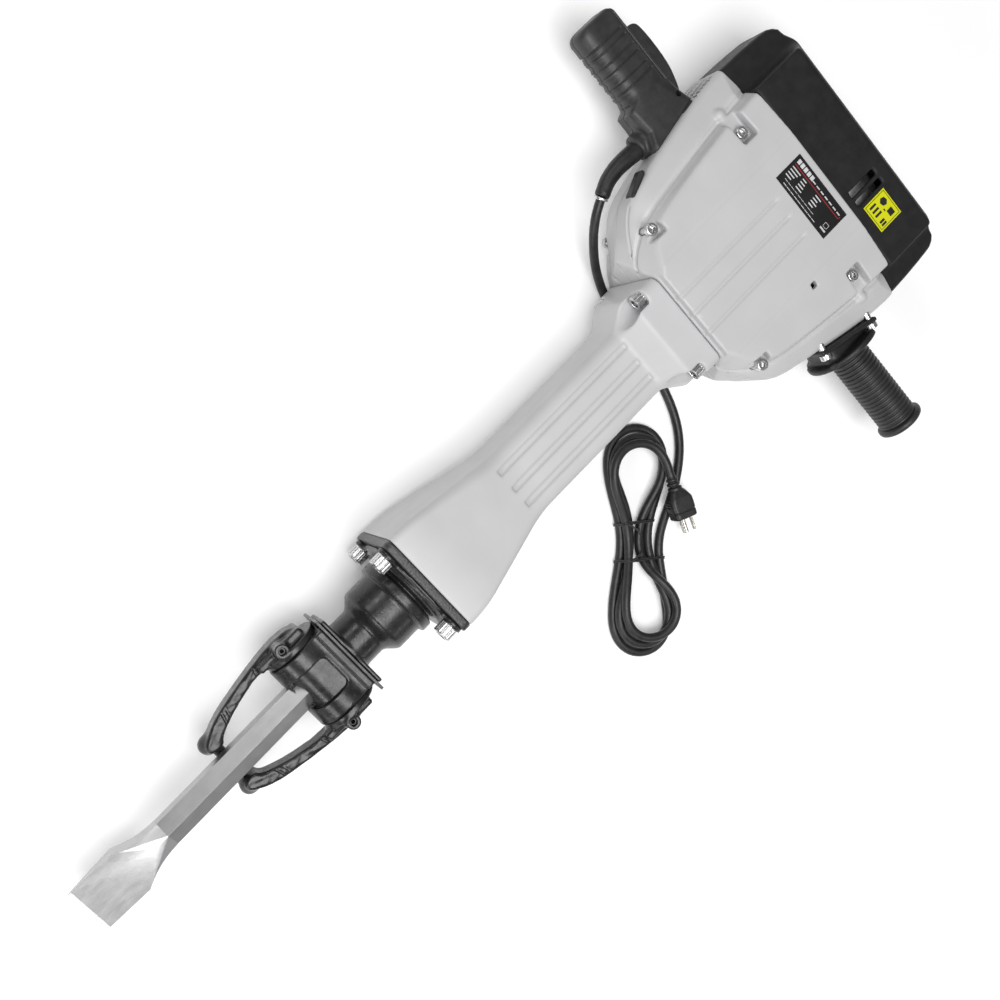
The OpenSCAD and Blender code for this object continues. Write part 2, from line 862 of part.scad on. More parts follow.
// Where the ground faces run out on the ridges of the shank, and the height of the blade's sides
ground_end_x = 86;
blade_side_h = 11.4;

// Side view of the ground faces: a thin edge, then a long even taper
blade_side = [
    [0, 0.8], [4, 2.6], [ground_end_x, shank_corner_r], [ground_end_x + 1, 20], [chisel_l + 1, 20],
    [chisel_l + 1, -20], [ground_end_x + 1, -20], [ground_end_x, -shank_corner_r], [4, -2.6],
    [0, -0.8]
];

// Six-sided bar with ridges on top and below: w and h are half its width and its flat sides' height
module ridged_bar(x0, x1, w, h) {
    translate([x0, 0, 0]) rotate([90, 0, 90]) linear_extrude(x1 - x0)
        polygon([[0, shank_corner_r], [w, h], [w, -h], [0, -shank_corner_r], [-w, -h], [-w, h]]);
}

module flat_chisel() {
    color(steel) seat() difference() {
        intersection() {
            union() {
                intersection() {
                    slab(mirrored(blade_half()), -20, 20);
                    hull() {
                        ridged_bar(0, blade_shoulder_x, blade_w / 2, blade_side_h);
                        ridged_bar(shank_start_x + 8, shank_start_x + 9, shank_half,
                                   shank_corner_r / 2);
                    }
                }
                hex_x(shank_corner_r, shank_start_x - 20, chisel_l);
            }
            translate([0, 30, 0]) rotate([90, 0, 0]) linear_extrude(60) polygon(blade_side);
        }
        both_sides()
            box(278, 356, shank_half - notch_depth, shank_half + 5, -12, 12);
        difference() {
            rod_x(30, chisel_l - 4, chisel_l + eps);
            rod_x(shank_half + 0.7, chisel_l - 5, chisel_l + 2);
        }
    }
}

// ---- Trigger handle ----

grip_half_x = 26;
grip_root_y = 172;

// Four thin corners of a rounded rectangle across Y, as a station of the handle
module handle_station(y, half_x, half_z, corner) {
    for (sx = [-1, 1], sz = [-1, 1])
        translate([handle_x + sx * (half_x - corner), y, sz * (half_z - corner)])
            rotate([-90, 0, 0]) cylinder(r = corner, h = 0.5, $fn = 32);
}

module handle_form() {
    hull() {
        handle_station(grip_root_y, grip_half_x, 20, 13);
        handle_station(handle_end_y - 8.5, grip_half_x, 20, 13);
        handle_station(handle_end_y - 0.5, grip_half_x - 6, 15, 10);
    }
    hull() {
        handle_station(grip_root_y, grip_half_x, 20, 13);
        on_side() box(base_s - 40, base_s + 32, 0.1, 6, -25, 25);
    }
}

// Lever outline at rest, from its pivot by the housing to its tip
pivot_x = 980;
pivot_y = 166;
lever_outline = [
    [973, 161], [978, 158], [988, 160], [994, 172], [1001, 197],
    [1001, 242], [996, 250], [984, 250], [978, 240], [974, 190]
];

module handle_cavity() {
    box(946, 990, 180, 262, -10.5, 10.5);
    box(966, 1010, 154, 258, -10.5, 10.5);
    translate([pivot_x, pivot_y, -14]) cylinder(r = 3, h = 28);
}

module handle_screw_holes(r) {
    for (p = [[handle_x - 5, handle_end_y - 11], [938, 182], [936, 158]])
        translate([p[0], p[1], -30]) cylinder(r = r, h = 60);
}

module handle_half() {
    difference() {
        intersection() {
            handle_form();
            box(880, 1020, 120, 300, 0.05, 40);
        }
        handle_cavity();
        handle_screw_holes(2.1);
    }
}

module handle_front_half() {
    color(grip_black) seat() handle_half();
}

module handle_back_half() {
    color(grip_black) seat() mirror([0, 0, 1]) difference() {
        handle_half();
        for (p = [[handle_x - 5, handle_end_y - 11], [938, 182], [936, 158]])
            translate([p[0], p[1], 12]) cylinder(r = 4, h = 30);
    }
}

module handle_screws() {
    color(steel) seat() for (p = [[handle_x - 5, handle_end_y - 11], [938, 182], [936, 158]])
        translate([p[0], p[1], 0]) {
            translate([0, 0, -15]) cylinder(r = 3.8, h = 3);
            translate([0, 0, -12.1]) cylinder(r = 2, h = 22);
        }
}

module trigger_lever() {
    color(grip_black) seat() difference() {
        slab(lever_outline, -10, 10);
        translate([pivot_x, pivot_y, -20]) cylinder(r = 3 + fit, h = 40);
    }
}

module trigger_pin() {
    color(steel) seat() translate([pivot_x, pivot_y, -13.8]) cylinder(r = 3 - 0.02, h = 27.6);
}

module trigger_switch() {
    color(cap_black) seat() {
        box(946.2, 960, 186, 232, -9.5, 9.5);
        translate([0, 208, 0]) rod_x(3, 959, 963);
    }
}

// ---- Auxiliary handle ----

module aux_base() {
    color(cap_black) seat() mirror([0, 1, 0]) difference() {
        union() {
            on_side() box(base_s - 42, base_s + 36, 0.1, 5, -38, 38);
            hull() {
                on_side() box(base_s - 30, base_s + 27, 0.1, 5, -22, 22);
                translate([handle_x, 0, 0]) rod_y(30, 164, 165);
            }
            translate([handle_x, 0, 0]) rod_y(collar_r, 163, 168);
        }
        translate([handle_x, 0, 0]) rod_y(11 + 0.02, 150, 180);
        on_side() for (sx = [-36, 30], sz = [-31, 31])
            translate([base_s + sx, 0, sz]) {
                rod_y(4.1, -5, 30);
                rod_y(7.2, 5, 16);
            }
    }
}

module aux_base_bolts() {
    color(zinc) seat() mirror([0, 1, 0]) on_side() for (sx = [-36, 30], sz = [-31, 31])
        translate([base_s + sx, 0, sz]) difference() {
            union() {
                rod_y(4, 0.2, 6);
                rod_y(6.5, 5.1, 11.5);
            }
            translate([0, 8, 0]) rotate([-90, 0, 0]) cylinder(r = 3.4, h = 5, $fn = 6);
        }
}

module aux_tube() {
    color(steel) seat() translate([handle_x, 0, 0]) difference() {
        rod_y(11, -handle_end_y + 6, -151);
        rod_y(8, -handle_end_y + 5, -150);
    }
}

// Ribbed rubber grip: half of its profile as [radius, distance from the collar]
module aux_grip() {
    grip_l = handle_end_y - 168.3;
    ribs = 20;
    pitch = (grip_l - 10) / ribs;
    profile = concat(
        [[11.02, 0], [grip_r + 1, 0]],
        [for (i = [0 : ribs - 1], s = [[0.15, -1.3], [0.35, -1.3], [0.5, 0], [0.98, 0]])
            [grip_r + s[1], 2 + pitch * (i + s[0])]],
        [[grip_r + 1, grip_l - 7], [grip_r + 4, grip_l - 6], [grip_r + 4, grip_l - 2],
         [grip_r + 2, grip_l], [0, grip_l], [0, grip_l - 5.5], [11.02, grip_l - 5.5]]);
    color(grip_black) seat() translate([handle_x, -168.3, 0]) rotate([90, 0, 0])
        rotate_extrude($fn = 72) polygon(profile);
}

// ---- Cord ----

module cable_guard() {
    color(cord_black) seat() tube(guard_route, 10.5, 7.5, 12);
}

module cord_lead() {
    color(cord_black) seat() tube(lead_route, cord_d / 2, cord_d / 2);
}

module cord_tail() {
    color(cord_black) seat() tube(tail_route, cord_d / 2, cord_d / 2);
}

// Part of the hank between two round ends
module hank_half(from, from_r, to, to_r) {
    hull() {
        translate(from) cylinder(r = from_r, h = hank_h, $fn = 48);
        translate(to) cylinder(r = to_r, h = hank_h, $fn = 48);
    }
}

module cord_hank() {
    color(cord_black) seat() translate([0, 0, -axis_h + 0.2]) {
        hank_half(hank_waist, hank_waist_r, hank_top, hank_r);
        hank_half(hank_waist, hank_waist_r, hank_bottom, hank_r);
    }
}

// The plug points along its own +X
module at_plug() {
    translate(plug_at) rotate([0, 0, plug_dir]) children();
}

module plug_body() {
    color(cord_black) seat() at_plug() {
        for (k = [0 : 2])
            rod_x(8 - 0.6 * (2 - k), 2 + 5 * k, 5 + 5 * k);
        rod_x(5.2, 0, 18);
        hull() {
            box(16, 20, -9, 9, -7, 9);
            box(26, 48, -14, 14, -11.5, 11);
        }
    }
}

module plug_prongs() {
    color("#c9a860") seat() at_plug() {
        for (s = [-1, 1])
            box(44, 64, s * 6.35 - 0.8, s * 6.35 + 0.8, -1, 5.5);
        translate([0, 0, -6]) rod_x(2.4, 44, 66);
    }
}

// Wire ties round the waist of the hank
module cord_ties() {
    axis_a = atan2(hank_top[1] - hank_bottom[1], hank_top[0] - hank_bottom[0]);
    color(cord_black) seat() for (t = [0.385, 0.61])
        translate([for (k = [0, 1]) hank_bottom[k] + t * (hank_top[k] - hank_bottom[k])])
            translate([0, 0, -axis_h + 0.1]) rotate([0, 0, axis_a]) difference() {
                box(-0.8, 0.8, -hank_waist_r - 5.5, hank_waist_r + 5.5, 0, hank_h + 1.6);
                box(-2, 2, -hank_waist_r - 4, hank_waist_r + 4, -eps, hank_h + 0.1);
            }
}

// ---- Labels ----

module nameplate() {
    color("#1c1c1e") seat() box(983, 1021, -41, 41, front_z + 0.02, front_z + 0.6);
}

module noise_label() {
    color("#e6e619") seat() box(1044.5, 1077.5, -84.5, -51.5, 62.02, 62.5);
}

front_cover();
back_cover();
motor_cap();
cap_screws();
cover_bolts();
neck_housing();
neck_bolts();
flange_plate();
nose_barrel();
nose_bolts();
nose_bushing();
anvil_guide();
damping_ring();
anvil();
cylinder_sleeve();
ram();
ram_seals();
piston();
piston_seals();
wrist_pin();
connecting_rod();
crank_pin();
crankshaft();
crank_gear();
cluster_gear();
inner_gear_plate();
outer_gear_plate();
shaft_bearings();
armature();
cooling_fan();
stator();
motor_bracket();
brush_holders();
carbon_brushes();
retainer_body();
retainer_plate();
bail_arm_left();
bail_arm_right();
bail_crossbar();
bail_roll_pins();
flat_chisel();
handle_front_half();
handle_back_half();
handle_screws();
trigger_lever();
trigger_pin();
trigger_switch();
aux_base();
aux_base_bolts();
aux_tube();
aux_grip();
cable_guard();
cord_lead();
cord_hank();
cord_tail();
plug_body();
plug_prongs();
cord_ties();
nameplate();
noise_label();
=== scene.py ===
# Electric breaker hammer with a flat chisel and a tied mains cord, on a pale studio floor.
# Shapes are worked out in the machine's own millimetres: X from the chisel tip along the hammer
# axis, Y towards the trigger handle, Z up from the axis. to_frame() moves them into the frame.
import json
import math

import bmesh
import bpy
import numpy as np
from mathutils import Matrix, Quaternion, Vector


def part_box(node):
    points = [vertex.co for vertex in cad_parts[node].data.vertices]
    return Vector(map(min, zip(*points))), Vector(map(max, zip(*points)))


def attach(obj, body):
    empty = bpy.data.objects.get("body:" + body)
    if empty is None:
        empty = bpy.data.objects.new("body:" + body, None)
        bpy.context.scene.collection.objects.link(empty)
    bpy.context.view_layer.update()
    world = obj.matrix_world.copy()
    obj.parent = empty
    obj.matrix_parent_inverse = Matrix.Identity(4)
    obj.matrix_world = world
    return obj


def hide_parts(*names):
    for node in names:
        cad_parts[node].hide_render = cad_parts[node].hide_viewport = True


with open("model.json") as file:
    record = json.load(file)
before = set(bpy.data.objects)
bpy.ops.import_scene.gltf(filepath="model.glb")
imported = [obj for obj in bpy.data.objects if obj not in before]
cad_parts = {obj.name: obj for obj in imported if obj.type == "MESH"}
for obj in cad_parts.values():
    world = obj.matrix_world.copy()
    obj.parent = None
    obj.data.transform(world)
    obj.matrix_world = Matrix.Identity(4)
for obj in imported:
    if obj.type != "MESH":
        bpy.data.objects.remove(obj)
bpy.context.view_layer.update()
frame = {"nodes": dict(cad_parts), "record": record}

MM = 0.001
TIP_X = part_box("flat_chisel")[0].x
JOINT_AT = {j["name"]: j["pos_m"] for j in frame["record"]["behaviour"]["joints"] if "pos_m" in j}
AXIS_Z = JOINT_AT["bail_swing"][2]
BODY_OF = {n: b for b, nodes in frame["record"]["behaviour"]["bodies"].items() for n in nodes}
SLOT_OF = {s["node"]: s["material_slot"] for s in frame["record"]["subparts"]}
COARSE = 1.0


def to_frame(points):
    """Points in the machine's millimetres, as metres in the frame."""
    points = np.asarray(points, float)
    return points * MM + np.array([TIP_X, 0, AXIS_Z])


# ---- Camera, floor and light ----

def make_camera():
    eye = Vector((-0.2823, 0.3650, 1.4033))
    aim = Vector((-0.0012, -0.0071, AXIS_Z))
    roll = math.radians(98.8)
    data = bpy.data.cameras.new("camera")
    data.lens = 50
    data.sensor_width = 36
    camera = bpy.data.objects.new("camera", data)
    camera.location = eye
    camera.rotation_mode = "QUATERNION"
    camera.rotation_quaternion = (aim - eye).to_track_quat("-Z", "Y") @ Quaternion((0, 0, 1), roll)
    bpy.context.collection.objects.link(camera)
    bpy.context.scene.camera = camera


def set_inputs(node, **values):
    """Sets a node's inputs, their names written with _ for each space."""
    for name, value in values.items():
        node.inputs[name.replace("_", " ")].default_value = value


def make_floor():
    half = 6.0
    mesh = bpy.data.meshes.new("floor")
    mesh.from_pydata([(-half, -half, 0), (half, -half, 0), (half, half, 0), (-half, half, 0)],
                     [], [(0, 1, 2, 3)])
    floor = bpy.data.objects.new("floor", mesh)
    bpy.context.collection.objects.link(floor)
    mat = bpy.data.materials.new("floor")
    mat.use_nodes = True
    set_inputs(mat.node_tree.nodes["Principled BSDF"], Base_Color=(0.9, 0.9, 0.9, 1),
               Roughness=0.9, Specular_IOR_Level=0.1, Emission_Color=(1, 1, 1, 1),
               Emission_Strength=0.12)
    mesh.materials.append(mat)


def add_light(name, at, aim, size, power):
    data = bpy.data.lights.new(name, "AREA")
    data.shape = "RECTANGLE"
    data.size, data.size_y = size
    data.energy = power
    light = bpy.data.objects.new(name, data)
    light.location = at
    light.rotation_mode = "QUATERNION"
    light.rotation_quaternion = (Vector(aim) - Vector(at)).to_track_quat("-Z", "Y")
    bpy.context.collection.objects.link(light)


def make_lights():
    add_light("top_softbox", (-0.45, -0.15, 2.5), (0.05, 0, 0), (1.9, 1.3), 60)
    add_light("side_softbox", (0.2, 1.9, 1.7), (0, 0, 0.05), (1.2, 0.5), 10)
    add_light("front_strip", (-2.0, -0.2, 1.1), (-0.2, 0, 0.08), (1.3, 0.35), 15)
    add_light("back_strip", (0.6, -2.1, 1.0), (0.1, 0, 0.08), (1.6, 0.3), 5)
    world = bpy.data.worlds.new("studio")
    world.use_nodes = True
    set_inputs(world.node_tree.nodes["Background"], Color=(1, 1, 1, 1), Strength=0.24)
    bpy.context.scene.world = world
    bpy.context.scene.view_settings.view_transform = "Standard"


# ---- Materials ----

def finish_material(name, dark, light, roughness, metallic=0.0, blotch=40, grain=900,
                    grain_height=0.05, coat=0.0, stretch=(1, 1, 1), wear=None, wear_amount=0.0,
                    specular=0.5):
    """Two close colours in blotches, an uneven gloss, and a fine grain. roughness is (low, high).
    stretch draws the grain out, as on ground steel. wear is the colour that shows in scuffs."""
    mat = bpy.data.materials.new(name)
    mat.use_nodes = True
    tree = mat.node_tree
    shader = tree.nodes["Principled BSDF"]
    set_inputs(shader, Metallic=metallic, Coat_Weight=coat, Specular_IOR_Level=specular)

    def node(kind, **values):
        made = tree.nodes.new(kind)
        set_inputs(made, **values)
        return made

    def noise(scale, detail, source):
        made = node("ShaderNodeTexNoise", Scale=scale, Detail=detail)
        tree.links.new(source, made.inputs["Vector"])
        return made.outputs["Fac"]

    coords = node("ShaderNodeTexCoord").outputs["Object"]
    mapping = node("ShaderNodeMapping", Scale=stretch)
    tree.links.new(coords, mapping.inputs["Vector"])
    drawn = mapping.outputs["Vector"]

    colours = node("ShaderNodeValToRGB")
    for element, position, colour in zip(colours.color_ramp.elements, (0.35, 0.65), (dark, light)):
        element.position = position
        element.color = (*colour, 1)
    tree.links.new(noise(blotch, 4, coords), colours.inputs["Fac"])
    colour = colours.outputs["Color"]
    if wear:
        scuffs = node("ShaderNodeMapRange", From_Min=0.66 - 0.1 * wear_amount, From_Max=0.74)
        tree.links.new(noise(blotch * 6, 8, drawn), scuffs.inputs["Value"])
        mix = node("ShaderNodeMix")
        mix.data_type = "RGBA"
        tree.links.new(scuffs.outputs["Result"], mix.inputs["Factor"])
        tree.links.new(colour, mix.inputs["A"])
        mix.inputs["B"].default_value = (*wear, 1)
        colour = mix.outputs["Result"]
    tree.links.new(colour, shader.inputs["Base Color"])

    gloss = node("ShaderNodeMapRange", From_Min=0.3, From_Max=0.7, To_Min=roughness[0],
                 To_Max=roughness[1])
    tree.links.new(noise(blotch * 3, 5, drawn), gloss.inputs["Value"])
    tree.links.new(gloss.outputs["Result"], shader.inputs["Roughness"])

    bump = node("ShaderNodeBump", Strength=1.0, Distance=grain_height * MM)
    tree.links.new(noise(grain, 3, drawn), bump.inputs["Height"])
    tree.links.new(bump.outputs["Normal"], shader.inputs["Normal"])
    return mat


def grey(value):
    return (value, value, value * 1.015)


FINISHES = {
    "body_paint": dict(dark=grey(0.455), light=grey(0.48), roughness=(0.36, 0.46), blotch=18,
                       grain=700, grain_height=0.04, specular=0.35),
    "cap_plastic": dict(dark=grey(0.011), light=grey(0.016), roughness=(0.42, 0.55), blotch=60,
                        grain=1300, grain_height=0.2, specular=0.25),
    "black_plastic": dict(dark=grey(0.011), light=grey(0.018), roughness=(0.34, 0.46), grain=700,
                          grain_height=0.3, specular=0.35),
    "grip_rubber": dict(dark=grey(0.017), light=grey(0.026), roughness=(0.38, 0.5), blotch=90,
                        grain=1100, grain_height=0.15, specular=0.45),
    "black_oxide": dict(dark=grey(0.008), light=grey(0.018), roughness=(0.2, 0.36), blotch=45,
                        grain=420, grain_height=0.13, specular=0.42, wear=grey(0.05),
                        wear_amount=0.2),
    "rough_cast": dict(dark=grey(0.006), light=grey(0.02), roughness=(0.3, 0.5), blotch=240,
                       grain=520, grain_height=0.5, specular=0.6, wear=grey(0.16),
                       wear_amount=0.9),
    "zinc": dict(dark=grey(0.5), light=grey(0.66), roughness=(0.2, 0.32), metallic=1, blotch=160,
                 grain=800, grain_height=0.02),
    "pin_steel": dict(dark=grey(0.03), light=grey(0.06), roughness=(0.3, 0.45), metallic=1),
    "chisel_steel": dict(dark=grey(0.385), light=grey(0.42), roughness=(0.34, 0.42), metallic=0.9,
                         blotch=70, grain=900, grain_height=0.1, stretch=(0.25, 1, 1)),
    "machine_steel": dict(dark=grey(0.38), light=grey(0.48), roughness=(0.2, 0.34), metallic=1,
                          stretch=(0.2, 1, 1)),
    "cast_aluminium": dict(dark=grey(0.5), light=grey(0.6), roughness=(0.4, 0.55), metallic=1,
                           grain=400, grain_height=0.15),
    "copper": dict(dark=(0.42, 0.17, 0.07), light=(0.6, 0.27, 0.13), roughness=(0.25, 0.4),
                   metallic=1),
    "inner_plastic": dict(dark=grey(0.03), light=grey(0.045), roughness=(0.4, 0.55)),
    "seal_rubber": dict(dark=grey(0.02), light=grey(0.03), roughness=(0.45, 0.6)),
    "cord_rubber": dict(dark=grey(0.010), light=grey(0.018), roughness=(0.34, 0.48), blotch=120,
                        grain=1000, grain_height=0.1, specular=0.4),
    "prong_brass": dict(dark=(0.42, 0.40, 0.36), light=(0.62, 0.59, 0.53), roughness=(0.2, 0.34),
                        metallic=1, blotch=200),
    "tie_wire": dict(dark=grey(0.015), light=grey(0.03), roughness=(0.3, 0.45)),
    "plate_film": dict(dark=grey(0.010), light=grey(0.014), roughness=(0.25, 0.35), coat=0.2,
                       specular=0.3),
    "label_film": dict(dark=(0.56, 0.57, 0.006), light=(0.6, 0.61, 0.008), roughness=(0.3, 0.4),
                       specular=0.3),
    "white_print": dict(dark=grey(0.5), light=grey(0.6), roughness=(0.4, 0.5)),
    "red_print": dict(dark=(0.30, 0.015, 0.02), light=(0.36, 0.02, 0.025), roughness=(0.4, 0.5)),
    "black_print": dict(dark=grey(0.010), light=grey(0.014), roughness=(0.4, 0.5)),
}
MATERIALS = {name: finish_material(name, **finish) for name, finish in FINISHES.items()}


def paint_cad_nodes():
    for name, obj in frame["nodes"].items():
        mat = MATERIALS[SLOT_OF[name]]
        if obj.material_slots:
            for material_slot in obj.material_slots:
                material_slot.link = "OBJECT"
                material_slot.material = mat
        else:
            obj.data.materials.append(mat)


# ---- Pieces ----

MOST_FACES = 120000


def add_piece(name, data, node, *more_nodes, replace=True, material=None):
    """Links a finished mesh or curve as the visible form of one or more CAD nodes, its flat parts
    thinned out where it has more faces than it needs."""
    piece = bpy.data.objects.new(name, data)
    bpy.context.collection.objects.link(piece)
    faces = 2 * len(data.polygons) if isinstance(data, bpy.types.Mesh) else 0
    if faces > MOST_FACES:
        thin = piece.modifiers.new("thinned", "DECIMATE")
        thin.ratio = max(0.33, MOST_FACES / faces)
    data.materials.append(MATERIALS[material or SLOT_OF[node]])
    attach(piece, BODY_OF[node])
    if replace:
        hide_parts(node, *more_nodes)
    return piece


def mesh_data(name, points, faces):
    """Smooth-shaded mesh of points in the machine's millimetres."""
    mesh = bpy.data.meshes.new(name)
    mesh.from_pydata(to_frame(points).tolist(), [], faces)
    mesh.polygons.foreach_set("use_smooth", [True] * len(mesh.polygons))
    mesh.update()
    return mesh


# ---- Smooth solids from distance fields ----

def smooth_max(a, b, r):
    """Both a and b, their edge rounded with a radius near r."""
    h = np.maximum(1.2 * r - np.abs(a - b), 0) / (1.2 * r)
    return np.maximum(a, b) + h * h * 0.3 * r


def smooth_min(a, b, r):
    """Either a or b, their inner corner filled with a radius near r."""
    return -smooth_max(-a, -b, r)


def cut(a, b, r):
    """a without b, the rim of the cut rounded with a radius near r."""
    return smooth_max(a, -b, r)


def rounded_corner(a, b, r):
    """Distance to a corner of radius r between two walls: a and b are the distances past them."""
    a, b = a + r, b + r
    return np.hypot(np.maximum(a, 0), np.maximum(b, 0)) + np.minimum(np.maximum(a, b), 0) - r


def box_field(x, y, z, lo, hi, r=1.0):
    """Distance to a box with rounded edges."""
    spans = [np.abs(p - (h + l) / 2) - (h - l) / 2 + r for p, l, h in zip((x, y, z), lo, hi)]
    outside = np.sqrt(sum(np.maximum(s, 0) ** 2 for s in spans))
    inside = np.minimum(np.maximum(np.maximum(spans[0], spans[1]), spans[2]), 0)
    return outside + inside - r


def rod_field(across, along, radius, lo, hi, r=1.0):
    """Distance to a round rod: across is the distance from its axis, along the place on it."""
    return rounded_corner(across - radius, np.abs(along - (lo + hi) / 2) - (hi - lo) / 2, r)


def outline_field(u, v, outline):
    """Distance to a closed outline of (u, v) points, negative inside."""
    u, v = np.broadcast_arrays(u, v)
    best = np.full(u.shape, 1e9)
    inside = np.zeros(u.shape, bool)
    for (u0, v0), (u1, v1) in zip(outline, outline[1:] + outline[:1]):
        du, dv = u1 - u0, v1 - v0
        t = np.clip(((u - u0) * du + (v - v0) * dv) / (du * du + dv * dv), 0, 1)
        best = np.minimum(best, (u - u0 - t * du) ** 2 + (v - v0 - t * dv) ** 2)
        if dv:
            crosses = ((v0 <= v) != (v1 <= v)) & (u < u0 + (v - v0) * du / dv)
            inside ^= crosses
    return np.where(inside, -1, 1) * np.sqrt(best)


def rounded_outline(points, passes=2):
    """The outline with its corners cut, which tends to a smooth curve."""
    for _ in range(passes):
        joined = zip(points, points[1:] + points[:1])
        points = [q for a, b in joined
                  for q in ((a[0] * 0.75 + b[0] * 0.25, a[1] * 0.75 + b[1] * 0.25),
                            (a[0] * 0.25 + b[0] * 0.75, a[1] * 0.25 + b[1] * 0.75))]
    return points


def both_halves(half):
    """Closed outline from its half on the +Y side."""
    return list(half) + [(x, -y) for x, y in reversed(half)]


def field_mesh(name, field, lo, hi, step, place=None):
    """Closed mesh where field(x, y, z) is zero, one vertex in each cell that it passes through.
    place moves the points out of a frame of their own."""
    step = step * COARSE
    axes = [np.arange(l - 1.5 * step, h + 2.5 * step, step) for l, h in zip(lo, hi)]
    x, y, z = np.meshgrid(*axes, indexing="ij", sparse=True)
    shape = tuple(len(a) for a in axes)
    f = np.array(np.broadcast_to(field(x, y, z), shape), np.float32)
    for axis in range(3):
        np.moveaxis(f, axis, 0)[[0, -1]] = step
    inside = f < 0
    cells = tuple(n - 1 for n in shape)
    count = np.zeros(cells, np.int8)
    for i, j, k in np.ndindex(2, 2, 2):
        count += inside[i:i + cells[0], j:j + cells[1], k:k + cells[2]]
    active = (count > 0) & (count < 8)
    index = np.full(cells, -1, np.int32)
    index[active] = np.arange(active.sum())
    cell = np.argwhere(active)
    total = np.zeros(cell.shape)
    hits = np.zeros(len(cell))
    for axis in range(3):
        along = np.eye(3, dtype=int)[axis]
        for corner in np.ndindex(2, 2):
            start = np.insert(corner, axis, 0)
            f0, f1 = f[tuple((cell + start).T)], f[tuple((cell + start + along).T)]
            crossed = (f0 < 0) != (f1 < 0)
            t = np.where(crossed, f0 / np.where(crossed, f0 - f1, 1), 0)
            total += (start + t[:, None] * along) * crossed[:, None]
            hits += crossed
    points = (cell + total / hits[:, None]) * step + np.array([a[0] for a in axes])
    if place:
        points = place(points)
    faces = []
    for axis in range(3):
        edge = np.argwhere(np.diff(inside, axis=axis))
        corners = []
        for shift in ((-1, -1), (0, -1), (0, 0), (-1, 0)):
            c = edge.copy()
            c[:, [(axis + 1) % 3, (axis + 2) % 3]] += shift
            corners.append(index[tuple(c.T)])
        quads = np.stack(corners, 1)
        inwards = ~inside[tuple(edge.T)]
        quads[inwards] = quads[inwards][:, ::-1]
        faces.append(quads)
    return mesh_data(name, points, np.concatenate(faces).tolist())


def add_solid(name, node, field, lo, hi, step, **how):
    """Adds the piece whose surface is where the field is zero."""
    return add_piece(name, field_mesh(name, field, lo, hi, step), node, **how)


# ---- Covers ----

BODY_X = 817
SEAM_X = 1030
COVER_HALF = [(800, 44), (817, 60), (822, 74), (832, 95), (846, 112), (862, 124), (885, 131),
              (1000, 155.5), (1050, 155)]
PANEL_HALF = [(800, 40), (817, 58), (824, 71), (836, 84), (850, 94), (866, 101), (900, 107),
              (960, 115), (1000, 119), (1050, 121)]
BAND_HALF_W = 62
FRONT_BAND_Z = 68
BACK_BAND_Z = 69.9
BOLT_SPOTS = [(991, 96.7), (847.5, 92)]
SIDE_AT = COVER_HALF[6]
SIDE_END = COVER_HALF[7]
SIDE_ANGLE = math.atan((SIDE_END[1] - SIDE_AT[1]) / (SIDE_END[0] - SIDE_AT[0]))


def ramp(value, low, high):
    """0 at low, 1 at high, smooth between."""
    t = np.clip((value - low) / (high - low), 0, 1)
    return t * t * (3 - 2 * t)


def side_frame(x, y):
    """Distance along the slanted side wall and out of it."""
    c, s = math.cos(SIDE_ANGLE), math.sin(SIDE_ANGLE)
    dx, dy = x - SIDE_AT[0], y - SIDE_AT[1]
    return dx * c + dy * s, dy * c - dx * s


def cover_cavity(x, ay, z):
    """The hollow inside a cover: three steps, the way to the neck, and posts for the bolts."""
    room = 1e3
    for stations, widths, top in (((852, 862, 885, 1031), (104, 112, 122, 146), 28),
                                  ((852, 880, 1031), (90, 98, 113), 42),
                                  ((852, 900, 1031), (76, 80, 84), 58)):
        wall = np.maximum(ay - np.interp(x, stations, widths), 852 - x)
        room = np.minimum(room, np.maximum(wall, z - top))
    gallery = np.maximum(np.maximum(826 - x, x - 853), np.maximum(ay - 36, z - 36))
    room = smooth_min(room, gallery, 1)
    room = np.minimum(room, np.maximum(np.hypot(ay, z) - 31.3, x - 853))
    for bx, by in BOLT_SPOTS:
        room = np.maximum(room, 9 - np.hypot(x - bx, ay - by))
    boss = box_field(x, ay, z, (1008, 132, 9), (1040, 160, 23), 1)
    return np.maximum(room, -boss)


